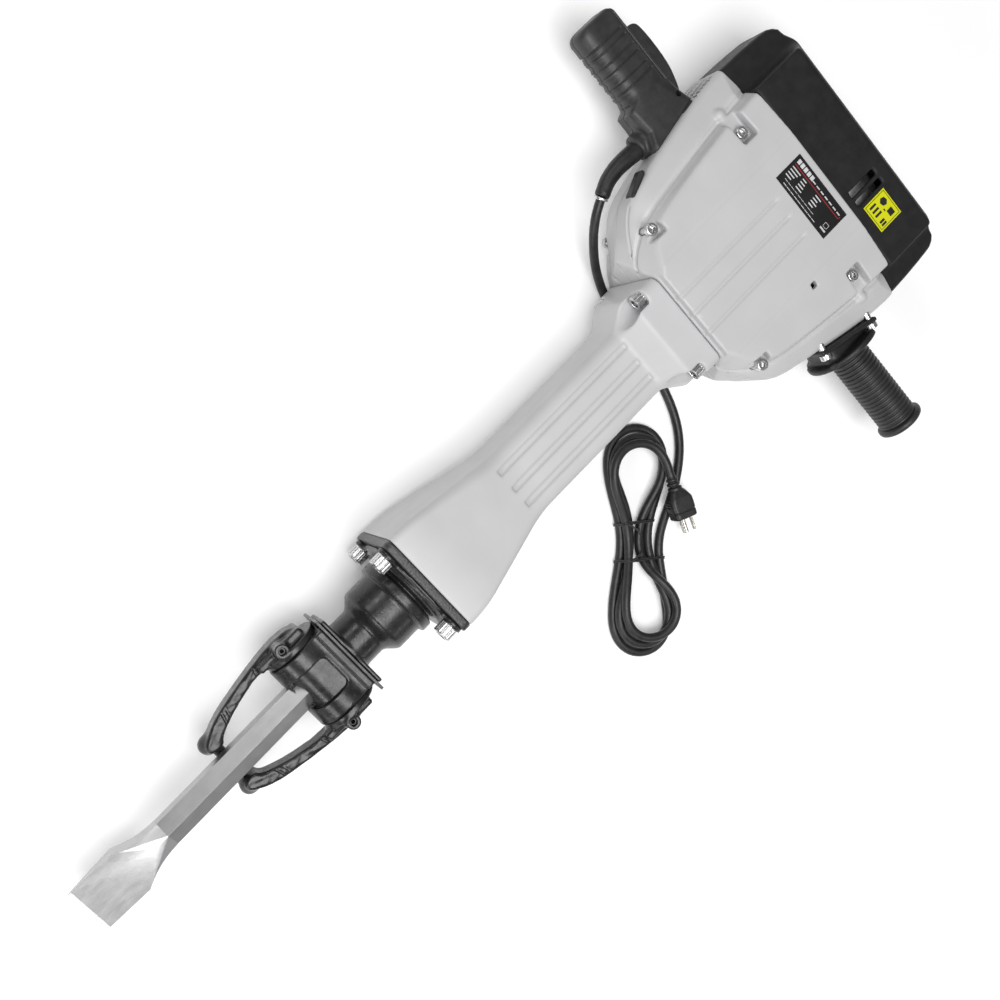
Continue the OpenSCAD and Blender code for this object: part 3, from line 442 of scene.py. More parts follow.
def cover_field(x, y, z, band_z, front):
    """One cover, as if it were the front one: band_z is the height of its raised panel's band, and
    front says whether it has the front's grooves and drain hole."""
    ay = np.abs(y)
    outline = outline_field(x, y, rounded_outline(both_halves(COVER_HALF)))
    panel = outline_field(x, y, rounded_outline(both_halves(PANEL_HALF)))
    shoulder_top = 30 + 0.64 * np.clip(-outline, 0, 25)
    field = smooth_max(outline, (z - shoulder_top) * 0.84, 5)
    panel_w = np.interp(x, *zip(*PANEL_HALF))
    fall = np.clip((ay - BAND_HALF_W) / (panel_w - BAND_HALF_W), 0, 1.2)
    panel_top = band_z - 7 * fall - 0.8 * np.exp(-((ay - BAND_HALF_W) / 1.3) ** 2)
    if front:
        for groove_y in (24, 2, -23):
            groove = np.exp(-((y - groove_y) / 1.9) ** 4) * ramp(974 - x, 0, 9)
            panel_top = panel_top - 1.7 * groove
    raised = smooth_max(panel + (z - 46) * 0.3, z - panel_top, 3)
    gutter = np.hypot(panel - 3, z - shoulder_top - 0.6) - 2.2
    field = cut(smooth_min(field, raised, 4), gutter, 1.5)
    crease = np.maximum(np.hypot(outline + 1, z - 26.5) - 1.6, x - 858)
    field = cut(field, crease, 0.8)
    for bx, by in BOLT_SPOTS:
        pocket = box_field(x, ay, z, (bx - 10, by - 10, 49.4), (bx + 10, 160, 95), 2.5)
        field = cut(field, pocket, 1.6)
    nub = np.sqrt((x - 989) ** 2 + (ay - 123.7) ** 2 + (z - 44) ** 2) - 6
    field = smooth_min(field, nub, 3)
    along, out = side_frame(x, ay)
    for k in range(6):
        slot_at = 108 + 5.4 * k
        for low in (4, 16.5):
            slit = box_field(along, out, z, (slot_at, -7, low), (slot_at + 2.7, 9, low + 9.5), 1.2)
            field = cut(field, slit, 0.7)
    if front:
        field = cut(field, box_field(x, y, z, (940, -72.5, 55), (947, -65.5, 80), 0.8), 0.6)
    field = np.maximum(field, -cover_cavity(x, ay, z))
    for bx, by in BOLT_SPOTS:
        field = np.maximum(field, 4.2 - np.hypot(x - bx, ay - by))
    field = np.maximum(field, np.where(z > 0, 5.1 - np.hypot(ay - 47.5, z - 45), -9))
    field = smooth_max(field, BODY_X + 0.25 - x, 1.2)
    field = smooth_max(field, x - SEAM_X + 0.2, 0.8)
    return smooth_max(field, 0.12 - z, 0.7)


def mirror_z(mesh):
    """Turns a mesh over about the hammer axis, with its faces still outwards."""
    mesh.transform(Matrix.Translation((0, 0, 2 * AXIS_Z)) @ Matrix.Scale(-1, 4, (0, 0, 1)))
    mesh.flip_normals()


def recess_shade_field(x, y, z):
    """Black liners that paint shade into the recesses under the cable guard and beside the trigger.
    """
    along, out = side_frame(x, y)
    by_guard = box_field(along, out - 0.22 * (along + 6), z, (-21, -3.2, 12), (9, 2.4, 30.6), 2.7)
    by_lever = box_field(along, out, z, (86, -9, 8), (103, 1.5, 27), 2.5)
    return np.minimum(by_guard, by_lever)


def make_covers():
    # Black plastic liners paint the shade inside the side recesses under the guard and beside the
    # trigger.
    add_solid("recess_shade_liners", "front_cover", recess_shade_field, (860, 118, 8), (992, 155, 31), 0.8,
              replace=False, material="black_plastic")
    lo = (BODY_X, -156, 0)
    add_solid("front_cover_shell", "front_cover",
              lambda x, y, z: cover_field(x, y, z, FRONT_BAND_Z, True), lo, (SEAM_X, 156, 69), 1.25)
    back = field_mesh("back_cover_shell", lambda x, y, z: cover_field(x, y, z, BACK_BAND_Z, False),
                      lo, (SEAM_X, 156, 70), 1.7)
    mirror_z(back)
    add_piece("back_cover_shell", back, "back_cover")


# ---- Motor cap ----

CAP_HALF = [(1000, 154), (1051, 154), (1092, 151.5), (1106, 149.5), (1117, 139)]
CAP_SCREW = (138, 16)
CAP_END = CAP_HALF[-1][0]
CAP_TOP = 62


def cap_field(x, y, z):
    ay, az = np.abs(y), np.abs(z)
    low = outline_field(x, y, rounded_outline(both_halves(CAP_HALF), 1))
    field = smooth_max(low, az - 29, 5)
    end = (x - CAP_END + 0.5 * np.maximum(az - 28, 0)) * 0.9
    tall = smooth_max(smooth_max(ay - 119.6, az - CAP_TOP, 4.5), end, 5)
    field = smooth_min(field, tall, 18)
    field = smooth_max(field, az - CAP_TOP, 2)
    inner = np.minimum(box_field(x, ay, az, (1000, -200, -200), (1110, 143, 24), 1),
                       box_field(x, ay, az, (1000, -200, -200), (1096, 112, 57), 1))
    to_screw = np.hypot(ay - CAP_SCREW[0], az - CAP_SCREW[1])
    inner = np.maximum(inner, 7 - to_screw)
    field = np.maximum(field, -inner)
    field = cut(field, rod_field(to_screw, x, 5, 1104, 1140, 0.5), 0.8)
    field = np.maximum(field, 2.6 - to_screw)
    for slot_y in (-32, -44):
        slot = box_field(x, y, z, (1042, slot_y - 3.6, 50), (1082, slot_y + 3.6, 80), 1)
        field = cut(field, slot, 0.6)
    field = smooth_max(field, x - CAP_END + 0.05, 1)
    return smooth_max(field, SEAM_X + 0.35 - x, 0.8)


def make_cap():
    add_solid("motor_cap_shell", "motor_cap", cap_field, (SEAM_X, -154, -CAP_TOP),
              (CAP_END, 154, CAP_TOP), 1.6)


# ---- Neck, flange and nose ----

NECK_STATIONS = (430, 464, 573, 756, 778, 830)
NECK_HALF_W = (59.25, 59.25, 39.5, 39.5, 56, 56)
NECK_HALF_H = (59.25, 59.25, 39.5, 39.5, 58, 58)
NECK_CORNERS = (7, 7, 13, 13, 10, 10)
NECK_BOLT = (47.5, 45)
NECK_X = 440.5
NOSE_X = 340
FLANGE_X = 431
FLANGE_HALF = 59.1
FLANGE_BOLT = (46.4, 46.4)
FLANGE_HOLE_R = 6.1
SLEEVE_R = 30.05


def to_corner(y, z, bolt):
    """Distance from the nearest of four bolts, one in each corner."""
    return np.hypot(np.abs(y) - bolt[0], np.abs(z) - bolt[1])


def eased(x, stations, values, reach):
    """Values along the stations, their corners eased over a length of reach each way."""
    return sum(np.interp(x + k * reach / 3, stations, values) for k in range(-3, 4)) / 7


def neck_field(x, y, z):
    reach = np.interp(x, (560, 600, 740, 757), (16, 16, 6, 4))
    half_w = eased(x, NECK_STATIONS, NECK_HALF_W, reach)
    half_h = eased(x, NECK_STATIONS, NECK_HALF_H, reach)
    corner = eased(x, NECK_STATIONS, NECK_CORNERS, 10)
    field = rounded_corner(np.abs(y) - half_w, np.abs(z) - half_h, corner)
    for groove_y in (23, 1, -19):
        across = np.hypot(y - groove_y, z - half_h - 1.2)
        groove = np.maximum(across - 4.4, np.maximum(566 - x, x - 753) * 0.5)
        field = cut(field, groove, 0.8)
    to_bolt = to_corner(y, z, NECK_BOLT)
    field = cut(field, rod_field(to_bolt, x, 13, 735, 796.8, 4), 3)
    radial = np.hypot(y, z)
    bores = np.minimum(np.maximum(radial - 31.05, 560 - x), np.maximum(radial - SLEEVE_R, x - 561))
    bores = np.minimum(bores, np.maximum(to_bolt - 5.1, 790 - x))
    flange_holes = to_corner(y, z, FLANGE_BOLT) - FLANGE_HOLE_R
    bores = np.minimum(bores, np.maximum(flange_holes, x - 471))
    field = np.maximum(field, -bores)
    field = smooth_max(field, NECK_X - 0.1 - x, 1)
    return smooth_max(field, x - BODY_X + 0.35, 1.2)


def flange_field(x, y, z):
    field = rounded_corner(np.abs(y) - FLANGE_HALF, np.abs(z) - FLANGE_HALF, 7)
    field = smooth_max(smooth_max(field, FLANGE_X + 0.1 - x, 1.4), x - NECK_X + 0.3, 1.4)
    bolt_holes = to_corner(y, z, FLANGE_BOLT) - FLANGE_HOLE_R
    return np.maximum(field, -np.minimum(bolt_holes, np.hypot(y, z) - SLEEVE_R))


def nose_field(x, y, z):
    radial = np.hypot(y, z)
    barrel_r = 27 + 11 * ramp(x, 365, 381)
    field = (radial - barrel_r) * 0.85
    field = smooth_max(smooth_max(field, NOSE_X + 1 - x, 1.5), x - FLANGE_X + 0.1, 1)
    field = smooth_min(field, rod_field(radial, x, 43, 407, 418.4, 2.2), 2.5)
    field = smooth_min(field, rod_field(radial, x, 51, 422.5, FLANGE_X, 2), 3)
    to_bolt = to_corner(y, z, FLANGE_BOLT)
    web = smooth_max(np.maximum(radial - 60, 426 - x), np.maximum(np.abs(y), np.abs(z)) - 53.5, 4)
    lobes = smooth_min(web, rod_field(to_bolt, x, 11.3, 426, FLANGE_X, 1.2), 5)
    lobes = smooth_max(lobes, 426.1 - x, 1.2)
    field = smooth_min(field, lobes, 2)
    front = box_field(x, y, z, (NOSE_X + 0.15, -42, -26), (344.6, 42, 26), 1.3)
    field = smooth_min(field, front, 2.5)
    field = np.maximum(field, 22.5 - radial)
    field = np.maximum(field, FLANGE_HOLE_R - to_bolt)
    field = cut(field, rod_field(to_bolt, x, 10.4, 410, 426, 0.5), 0.6)
    return np.maximum(np.maximum(field, NOSE_X + 0.1 - x), x - FLANGE_X + 0.05)


def make_neck():
    add_solid("neck_casting", "neck_housing", neck_field, (440, -60, -60), (BODY_X, 60, 60), 1.4)
    add_solid("flange_plate_body", "flange_plate", flange_field, (FLANGE_X, -60, -60),
              (440.3, 60, 60), 1.3, material="rough_cast")
    add_solid("nose_casting", "nose_barrel", nose_field, (NOSE_X, -60, -60),
              (FLANGE_X, 60, 60), 1.2)


# ---- Tool retainer ----

SWING_X = 305
DRUM_R = 31.5
DRUM_HALF_W = 37.5
DRUM_END_X = SWING_X + 31.8


def retainer_field(x, y, z):
    """The drum with its flat back, a pocket above and below, and the bores for shank and hubs."""
    swing = np.hypot(x - SWING_X, z)
    ay = np.abs(y)
    field = rod_field(swing, y, DRUM_R, -DRUM_HALF_W, DRUM_HALF_W, 1.6)
    end_x = DRUM_END_X - 0.15
    back = box_field(x, y, z, (SWING_X, -DRUM_HALF_W, -28), (end_x, DRUM_HALF_W, 28), 1.6)
    field = smooth_min(field, back, 3)
    rim = box_field(x, y, z, (SWING_X + 24, -DRUM_HALF_W, -30.3), (end_x, DRUM_HALF_W, 30.3), 1.2)
    field = smooth_min(field, rim, 2)
    pocket = box_field(x, y, np.abs(z), (SWING_X - 27, -19, -60), (SWING_X + 16, 19, 60), 6.5)
    depth = 25.6 - np.where(x < SWING_X, swing, np.abs(z))
    field = cut(field, np.maximum(pocket, depth), 1)
    shank = np.hypot(y, z) - 17
    hubs = np.maximum(swing - 24.05, 12 - ay)
    return np.maximum(field, -np.minimum(shank, hubs))


ARM_OUTLINE = [(SWING_X + 14, 57), (290, 58.5), (268, 56), (249, 53), (229, 49.5), (210, 45.5),
               (195, 40), (184, 33), (180, 27), (182, 21), (196, 20), (200, 26),
               (212, 31.5), (228, 37), (245, 41), (262, 44.5), (SWING_X + 14, 44.5)]
CROSSBAR_X = 187
PIN_AT = (296, 50)


def arm_field(x, y, z):
    """The arm on the +Y side: hub, spigot, ribbed curved arm, pin boss and foot."""
    swing = np.hypot(x - SWING_X, z)
    plan = outline_field(x, y, rounded_outline(ARM_OUTLINE, 2))
    rough = (0.35 * np.sin(x * 0.37 + 2 * np.sin(y * 0.31))
             * np.sin(y * 0.43 + 1.7 * np.sin(z * 0.29)))
    arm = smooth_max(plan, np.abs(z + 6) - 12 + rough, 3.2)
    under = np.maximum(np.maximum(plan + 3.6, np.abs(x - 240) - 32), z + 15.2)
    arm = cut(arm, under, 2)
    for mark_x in (214, 220, 262):
        mark = np.maximum(np.abs(x - mark_x - 0.3 * (y - 40)) - 0.9, 5.5 - z)
        arm = cut(arm, mark, 0.6)
    hub = rod_field(swing, y, 30.4, DRUM_HALF_W + 0.75, 45.2, 1.4)
    field = smooth_min(arm, hub, 4)
    to_pin = np.hypot(x - PIN_AT[0], y - PIN_AT[1])
    boss = rod_field(to_pin, z, 7.6, -14, 29.5, 1.5)
    field = smooth_min(field, boss, 3)
    rib = box_field(x, y, z, (268, 44, 2), (312, 52, 15), 2.5)
    field = smooth_min(field, rib, 4)
    step = box_field(x, y, z, (300, 44, -20), (324, 53.5, 19), 3)
    field = smooth_min(field, step, 3)
    foot = rod_field(np.hypot(x - CROSSBAR_X, z + 22), y, 10, 18, 31, 3)
    ball = np.sqrt((x - 184) ** 2 + (y - 29) ** 2 + (z + 9) ** 2) - 9.5
    field = smooth_min(field, smooth_min(foot, ball, 6), 6)
    field = np.minimum(field, rod_field(swing, y, 24, 12.2, 40, 0.8))
    holes = np.maximum(np.maximum(np.abs(x - SWING_X) - 10.2, y - 17), np.abs(z) - 30)
    holes = np.minimum(holes, np.maximum(np.hypot(x - CROSSBAR_X, z + 24) - 6.05, y - 27))
    holes = np.minimum(holes, to_pin - 3.5)
    return np.maximum(field, -holes)


def make_retainer():
    add_solid("retainer_drum", "retainer_body", retainer_field, (273, -38, -32), (337, 38, 32), 0.9)
    add_solid("bail_arm_left_casting", "bail_arm_left", arm_field,
              (173, 11, -33), (337, 61, 31), 0.85)
    add_solid("bail_arm_right_casting", "bail_arm_right", lambda x, y, z: arm_field(x, -y, z),
              (173, -61, -33), (337, -11, 31), 0.85)


# ---- Handles ----

HANDLE_X = 958
HANDLE_END = 280
GRIP_LINES = (183, 190.5, 204.5, 213.5, 227, 236, 248, 255.5)
HANDLE_SCREWS = ((HANDLE_X - 5, HANDLE_END - 11), (938, 182), (936, 158))
LEVER_OUTLINE = [(973, 161), (978, 158), (988, 160), (994, 172), (1001, 197), (1001, 242),
                 (996, 250), (984, 250), (978, 240), (974, 190)]
LEVER_PIN = (980, 166)
BASE_ALONG = (HANDLE_X - SIDE_AT[0]) / math.cos(SIDE_ANGLE)
BASE_BOLTS = [(along, z) for along in (-36, 30) for z in (-31, 31)]


def handle_field(x, y, z, side):
    """One half of the trigger handle: side is 1 for the front half and -1 for the back one."""
    az = np.abs(z)
    taper = 3.6 * ramp(y, HANDLE_END - 10, HANDLE_END + 6)
    ripple = 0.8 * np.cos((y - 186) * 2 * math.pi / 11.3) * ramp(y, 176, 186) * ramp(262 - y, 0, 8)
    low_x = HANDLE_X - 25 + taper + ripple * ramp(HANDLE_X - x, 0, 20)
    high_x = HANDLE_X + 26 - taper
    face = az - 20 + taper * 0.5 + 1.2 * ramp(HANDLE_X - 4 - x, 0, 18)
    grip = smooth_max(smooth_max(low_x - x, face, 13), x - high_x, 4)
    grip = smooth_max(grip, y - HANDLE_END + 0.2, 6)
    skin = grip
    for line_y in GRIP_LINES:
        line = np.maximum(np.abs(y - line_y) - 0.55, -skin - 1.1)
        grip = cut(grip, np.maximum(line, x - HANDLE_X - 19), 0.3)
    seam = np.maximum(np.abs(x - HANDLE_X - 22.4) - 0.45, -skin - 0.8)
    grip = cut(grip, np.maximum(seam, 176 - y), 0.3)
    along, out = side_frame(x, y)
    foot_half = np.interp(out, (0, 6, 40), (25, 24, 19.5))
    low = np.interp(out, (0, 5, 16, 44), (-40, -38, -29, -24)) + BASE_ALONG
    high = np.interp(out, (0, 44), (32, 24)) + BASE_ALONG
    c, h = (low + high) / 2, (high - low) / 2
    foot = rounded_corner(np.abs(along - c) - h, az - foot_half, 7)
    foot = smooth_max(foot, np.maximum(0.15 - out, out - 44), 1.5)
    field = smooth_min(grip, foot, 6)
    collar_ring = rod_field(np.hypot(y - 152, z), x, 14.5, 914, 926, 3)
    field = smooth_min(field, collar_ring, 4)
    slot = np.minimum(box_field(x, y, z, (946, 180, -10.5), (990, 262, 10.5), 0.5),
                      box_field(x, y, z, (966, 154, -10.5), (1014, 258, 10.5), 0.5))
    field = np.maximum(field, -slot)
    field = np.maximum(field, 3 - np.hypot(x - LEVER_PIN[0], y - LEVER_PIN[1]))
    for sx, sy in HANDLE_SCREWS:
        to_screw = np.hypot(x - sx, y - sy)
        hole = np.maximum(to_screw - 2.1, -z - 16)
        hole = np.maximum(hole, z - 12)
        hole = np.minimum(hole, np.maximum(to_screw - 4, z + 12))
        field = np.maximum(field, -hole)
    field = np.maximum(field, 0.1 - out)
    return smooth_max(field, 0.1 - z * side, 0.5)


def lever_field(x, y, z):
    paddle = smooth_max(outline_field(x, y, rounded_outline(LEVER_OUTLINE)), np.abs(z) - 10, 2.4)
    return np.maximum(paddle, 3.05 - np.hypot(x - LEVER_PIN[0], y - LEVER_PIN[1]))


def make_trigger_handle():
    for node, side, z_lo in (("handle_front_half", 1, 0), ("handle_back_half", -1, -26)):
        add_solid(node + "_shell", node, lambda x, y, z: handle_field(x, y, z, side),
                  (880, 128, z_lo), (1012, 281, z_lo + 26), 0.85)
    add_solid("trigger_paddle", "trigger_lever", lever_field, (972, 157, -10), (1002, 251, 10), 0.9)


def aux_base_field(x, y, z):
    y = -y
    along, out = side_frame(x, y)
    along = along - BASE_ALONG
    az = np.abs(z)
    plate = box_field(along, out, z, (-42, 0.12, -38), (36, 5, 38), 1.6)
    a = np.abs(along + 1.5) - np.interp(out, (0, 34), (30, 27))
    b = az - np.interp(out, (0, 34), (24, 28))
    block = smooth_max(smooth_max(a, b, 9), np.maximum(0.2 - out, y - 165), 2)
    field = smooth_min(plate, block, 5)
    disc = rod_field(np.hypot(x - HANDLE_X, z), y, 45, 161.5, 168, 2.4)
    field = smooth_min(field, disc, 3)
    for bolt_along, bolt_z in BASE_BOLTS:
        to_bolt = np.hypot(along - bolt_along, z - bolt_z)
        field = cut(field, rod_field(to_bolt, out, 7.6, 5, 40, 1), 0.8)
        field = np.maximum(field, 4.1 - to_bolt)
    field = np.maximum(field, 11.02 - np.hypot(x - HANDLE_X, z))
    return np.maximum(field, 0.1 - out)


def tube_faces(rings, sides, closed=False):
    """Faces between rings of points, with a cap at each end unless the tube joins itself."""
    faces = []
    for i in range(rings if closed else rings - 1):
        n = (i + 1) % rings
        for k in range(sides):
            j = (k + 1) % sides
            faces.append((i * sides + k, i * sides + j, n * sides + j, n * sides + k))
    if not closed:
        faces.append(tuple(range(sides - 1, -1, -1)))
        faces.append(tuple(range((rings - 1) * sides, rings * sides)))
    return faces


def turned(profile, centre, direction, steps=96):
    """Points and faces of a turned body. profile rows are (radius, distance along direction) from
    one end to the other, with "hex" or "knurl" as a third item where the ring isn't round."""
    direction = Vector(direction).normalized()
    side = direction.orthogonal().normalized()
    up = direction.cross(side)
    angles = np.linspace(0, 2 * math.pi, steps, endpoint=False)
    rim = np.outer(np.cos(angles), side) + np.outer(np.sin(angles), up)
    shapes = {"round": np.ones(steps),
              "hex": 1 / np.cos((angles % (math.pi / 3)) - math.pi / 6),
              "knurl": 1 - 0.035 * (np.arange(steps) % 4 > 1)}
    points = []
    for radius, height, *shape in profile:
        scale = radius * shapes[shape[0] if shape else "round"]
        points.append(np.asarray(centre) + height * np.asarray(direction) + scale[:, None] * rim)
    return np.concatenate(points), tube_faces(len(profile), steps)


def merged(name, parts, sharp=40):
    """One mesh of several (points, faces) parts, its edges sharp where they turn past an angle."""
    points, faces, start = [], [], 0
    for part_points, part_faces in parts:
        points.append(np.asarray(part_points, float))
        faces += [tuple(i + start for i in face) for face in part_faces]
        start += len(part_points)
    mesh = mesh_data(name, np.concatenate(points), faces)
    mesh.set_sharp_from_angle(angle=math.radians(sharp))
    return mesh


def add_parts(name, node, parts, sharp=40, **how):
    """Adds the piece made of several (points, faces) parts."""
    return add_piece(name, merged(name, parts, sharp), node, **how)


def make_aux_handle():
    add_solid("aux_base_body", "aux_base", aux_base_field, (910, -169, -46), (1005, -136, 46), 1)
    start, ribs, rib_r = 168.4, 20, 23
    length = HANDLE_END - start
    pitch = (length - 10) / ribs
    profile = [(11.3, 0.1), (rib_r + 0.4, 0.1), (rib_r + 1, 0.7), (rib_r + 1, 1.6)]
    for i in range(ribs):
        base = 2 + pitch * i
        profile.append((rib_r - 1.6, base))
        profile.append((rib_r - 1.6, base + 0.22 * pitch))
        for k in range(7):
            bow = math.sin(math.pi * k / 6) ** 0.5
            profile.append((rib_r - 1.3 + 1.3 * bow, base + pitch * (0.26 + 0.7 * k / 6)))
    for r, h in ((rib_r + 2.6, -7.6), (rib_r + 3.8, -6.4), (rib_r + 4, -4), (rib_r + 3.4, -1.8),
                 (rib_r + 1.6, -0.4), (rib_r - 2, 0), (6, 0)):
        profile.append((r, length + h))
    add_parts("aux_grip_ribbed", "aux_grip",
              [turned(profile, (HANDLE_X, -start, 0), (0, -1, 0))], 50)


# ---- Bolts and plates ----

def socket_bolt(head_at, direction, head_r, head_h, shank_r, length, key_r, knurled=False,
                nut=None):
    """Socket screw from the rim of its socket down to the end of its shank. direction points from
    the head to the end. nut is (radius, height)."""
    side = "knurl" if knurled else "round"
    rows = [(key_r * 0.9, 0.62 * head_h, "hex"), (key_r, 0.55 * head_h, "hex"),
            (key_r, 0.5, "hex"), (key_r + 0.5, 0.02, "hex"), (head_r - 1.1, 0),
            (head_r - 0.35, 0.3), (head_r, 0.9), (head_r, 1.3, side), (head_r, head_h - 1.3, side),
            (head_r, head_h - 0.9), (head_r - 0.3, head_h), (shank_r, head_h)]
    if nut:
        nut_r, nut_h = nut
        nut_at = length - nut_h - 0.4
        rows += [(shank_r, nut_at), (nut_r, nut_at, "hex"), (nut_r, length - 0.9, "hex"),
                 (nut_r * 0.93, length - 0.2), (shank_r, length - 0.1)]
    else:
        rows.append((shank_r, length - 0.6))
    rows.append((shank_r - 0.6, length))
    return turned(rows, head_at, direction)


def make_bolts():
    both = (1, -1)
    cover = [socket_bolt((x, y * s, 57.4), (0, 0, -1), 6.5, 8, 4, 113.8, 3.6, nut=(6.1, 7))
             for x, y in BOLT_SPOTS for s in both]
    add_parts("cover_bolts_turned", "cover_bolts", cover)
    for group, at, x, sizes in (("neck_bolts", NECK_BOLT, 786, (8, 11, 5, 58, 4.4)),
                                ("nose_bolts", FLANGE_BOLT, 413, (9.5, 13, 6, 55, 5.2))):
        bolts = [socket_bolt((x, at[0] * s, at[1] * t), (1, 0, 0), *sizes, knurled=True)
                 for s in both for t in both]
        add_parts(group + "_turned", group, bolts, 22)
    c, s = math.cos(SIDE_ANGLE), math.sin(SIDE_ANGLE)
    head_out = 11.5
    aux = []
    for bolt_along, z in BASE_BOLTS:
        along = bolt_along + BASE_ALONG
        at = (SIDE_AT[0] + along * c - head_out * s, -(SIDE_AT[1] + along * s + head_out * c), z)
        aux.append(socket_bolt(at, (s, c, 0), 6.5, 6.4, 4, 19.5, 3.4))
    add_parts("aux_bolts_turned", "aux_base_bolts", aux)


def softened(node, width):
    """The CAD node's own shape with its edges broken, as machined or forged edges are."""
    sharp = math.radians(28)
    source = frame["nodes"][node].data
    bm = bmesh.new()
    bm.from_mesh(source)
    bmesh.ops.remove_doubles(bm, verts=bm.verts, dist=2e-6)
    bmesh.ops.dissolve_limit(bm, angle_limit=math.radians(0.8), verts=bm.verts, edges=bm.edges)
    mesh = bpy.data.meshes.new(node + "_finished")
    bm.to_mesh(mesh)
    bm.free()
    mesh.materials.clear()
    mesh.polygons.foreach_set("use_smooth", [True] * len(mesh.polygons))
    piece = add_piece(node + "_finished", mesh, node)
    bevel = piece.modifiers.new("edges", "BEVEL")
    bevel.width = width * MM
    bevel.segments = 2
    bevel.limit_method = "ANGLE"
    bevel.angle_limit = sharp
    bevel.harden_normals = True
    bevel.use_clamp_overlap = True
    mesh.set_sharp_from_angle(angle=sharp)


# ---- Mains cord ----

CORD_D = 10
CORD_R = CORD_D / 2
FLOOR_Z = -70
CORD_GAP = 6
LEAST_BEND = 32
LYING_Z = FLOOR_Z + CORD_R + 0.1
TOP_Z = -45.9
WIRE_R = 0.75
GUARD = [(925, 151, 0), (912, 151, 0), (899, 152, 0), (885, 152, -1), (869, 149, -2),
         (853, 141, -3)]
LEAD = [(853, 141, -3), (839, 132, -8), (827, 118, -17), (819, 102, -29), (814, 86, -42),
        (811, 68, -55), (808, 48, -63.5), (806, 26, -64.8), (804, 0, -64.9), (801, -26, -64.9),
        (797, -50, -64.9), (792, -73, -64.9), (785, -95, -64.9), (775, -115, -64.9),
        (762, -132, -64.9), (746, -146, -64.9), (729, -158, -64.9)]
TAIL = [(679, -90, -46), (693, -80.5, -46), (710, -79.5, -46), (725, -87, -46), (734.5, -101, -46),
        (735.5, -118, -46), (733.5, -124, -46), (730, -132.5, -46), (726, -141, -46)]
PLUG_AT = (726, -141, -46)
PLUG_HEADING = math.radians(-113.4)
HANK_AT = np.array((655, -171.25))
HANK_ALONG = np.array((0.661, 0.7504))
HANK_ACROSS = np.array((0.7504, -0.661))
TIE_SPOTS = (-21.2, 20.3)


def hank_to_body(rows):
    """Points along, across and up the hank, in the machine's own frame."""
    rows = np.asarray(rows, float)
    flat = HANK_AT + rows[:, :1] * HANK_ALONG + rows[:, 1:2] * HANK_ACROSS
    return np.column_stack([flat, rows[:, 2]])


def strand(v_mid, z_mid, start, end, sway):
    """One pass of the hank from start to end, both (u, v, z), drawn in to its waist between."""
    rows = []
    for u in np.linspace(start[0], end[0], 17)[1:-1]:
        u_end, v_end, z_end = start if (u < 0) == (start[0] < 0) else end
        spread = ramp(abs(u), 6, abs(u_end))
        rows.append((u, v_mid + (v_end - v_mid) * spread + sway * math.sin(u / 17) * (1 - spread),
                     z_mid + (z_end - z_mid) * ramp(abs(u), 24, 62)))
    return rows


def fold(u, v, r, z, side):
    """Half a turn at one end of the hank: side is 1 at the top end and -1 at the bottom one."""
    angles = np.linspace(math.pi / 2, -math.pi / 2, 13) * -side
    return [(u + side * r * math.cos(a), v + r * math.sin(a), z) for a in angles]


def hank_route():
    """The two and a half folds of the hank, from the lead's end on the floor up to the tail."""
    low, middle, high = LYING_Z, -55.8, -47.3
    rows = [(38, 39, low), (18, 31, low), (-2, 24, low), (-22, 21, low), (-44, 22.5, low),
            (-64, 27.5, low), (-80, 32, low)]
    folds = [(-92, 0, 34, low, -1), (92, 0, 34, low, 1), (-84, 1, 32, middle, -1),
             (84, -1, 32, middle, 1), (-76, 5, 32, high, -1)]
    waists = [(-20.8, low, 1.2), (10.6, low, -1.5), (-10.4, low, 1.6), (0, low, 1.2)]
    rows += fold(*folds[0])
    for (v, z, sway), nxt in zip(waists, folds[1:]):
        turn = fold(*nxt)
        rows += strand(v, z, rows[-1], turn[0], sway)
        rows += turn
    rows += [(-62, -25, high), (-48, -22, -48.5), (-34, -19, -52), (-20, -16.6, -55.5),
             (-4, -15.6, -56), (12, -16.5, -56), (28, -20, -54.5), (42, -25, -51.5),
             (56, -30.5, -48.5), (66, -34, -46.8)]
    return hank_to_body(rows)


def evenly(points, gap):
    """The same line with points a fixed distance apart."""
    length = np.r_[0, np.cumsum(np.linalg.norm(np.diff(points, axis=0), axis=1))]
    at = np.linspace(0, length[-1], int(round(length[-1] / gap)) + 1)
    return np.column_stack([np.interp(at, length, points[:, k]) for k in range(3)])


def smoothed_route(points, passes):
    for _ in range(passes):
        points = np.vstack([points[:1], (points[:-2] + 2 * points[1:-1] + points[2:]) / 4,
                            points[-1:]])
    return points


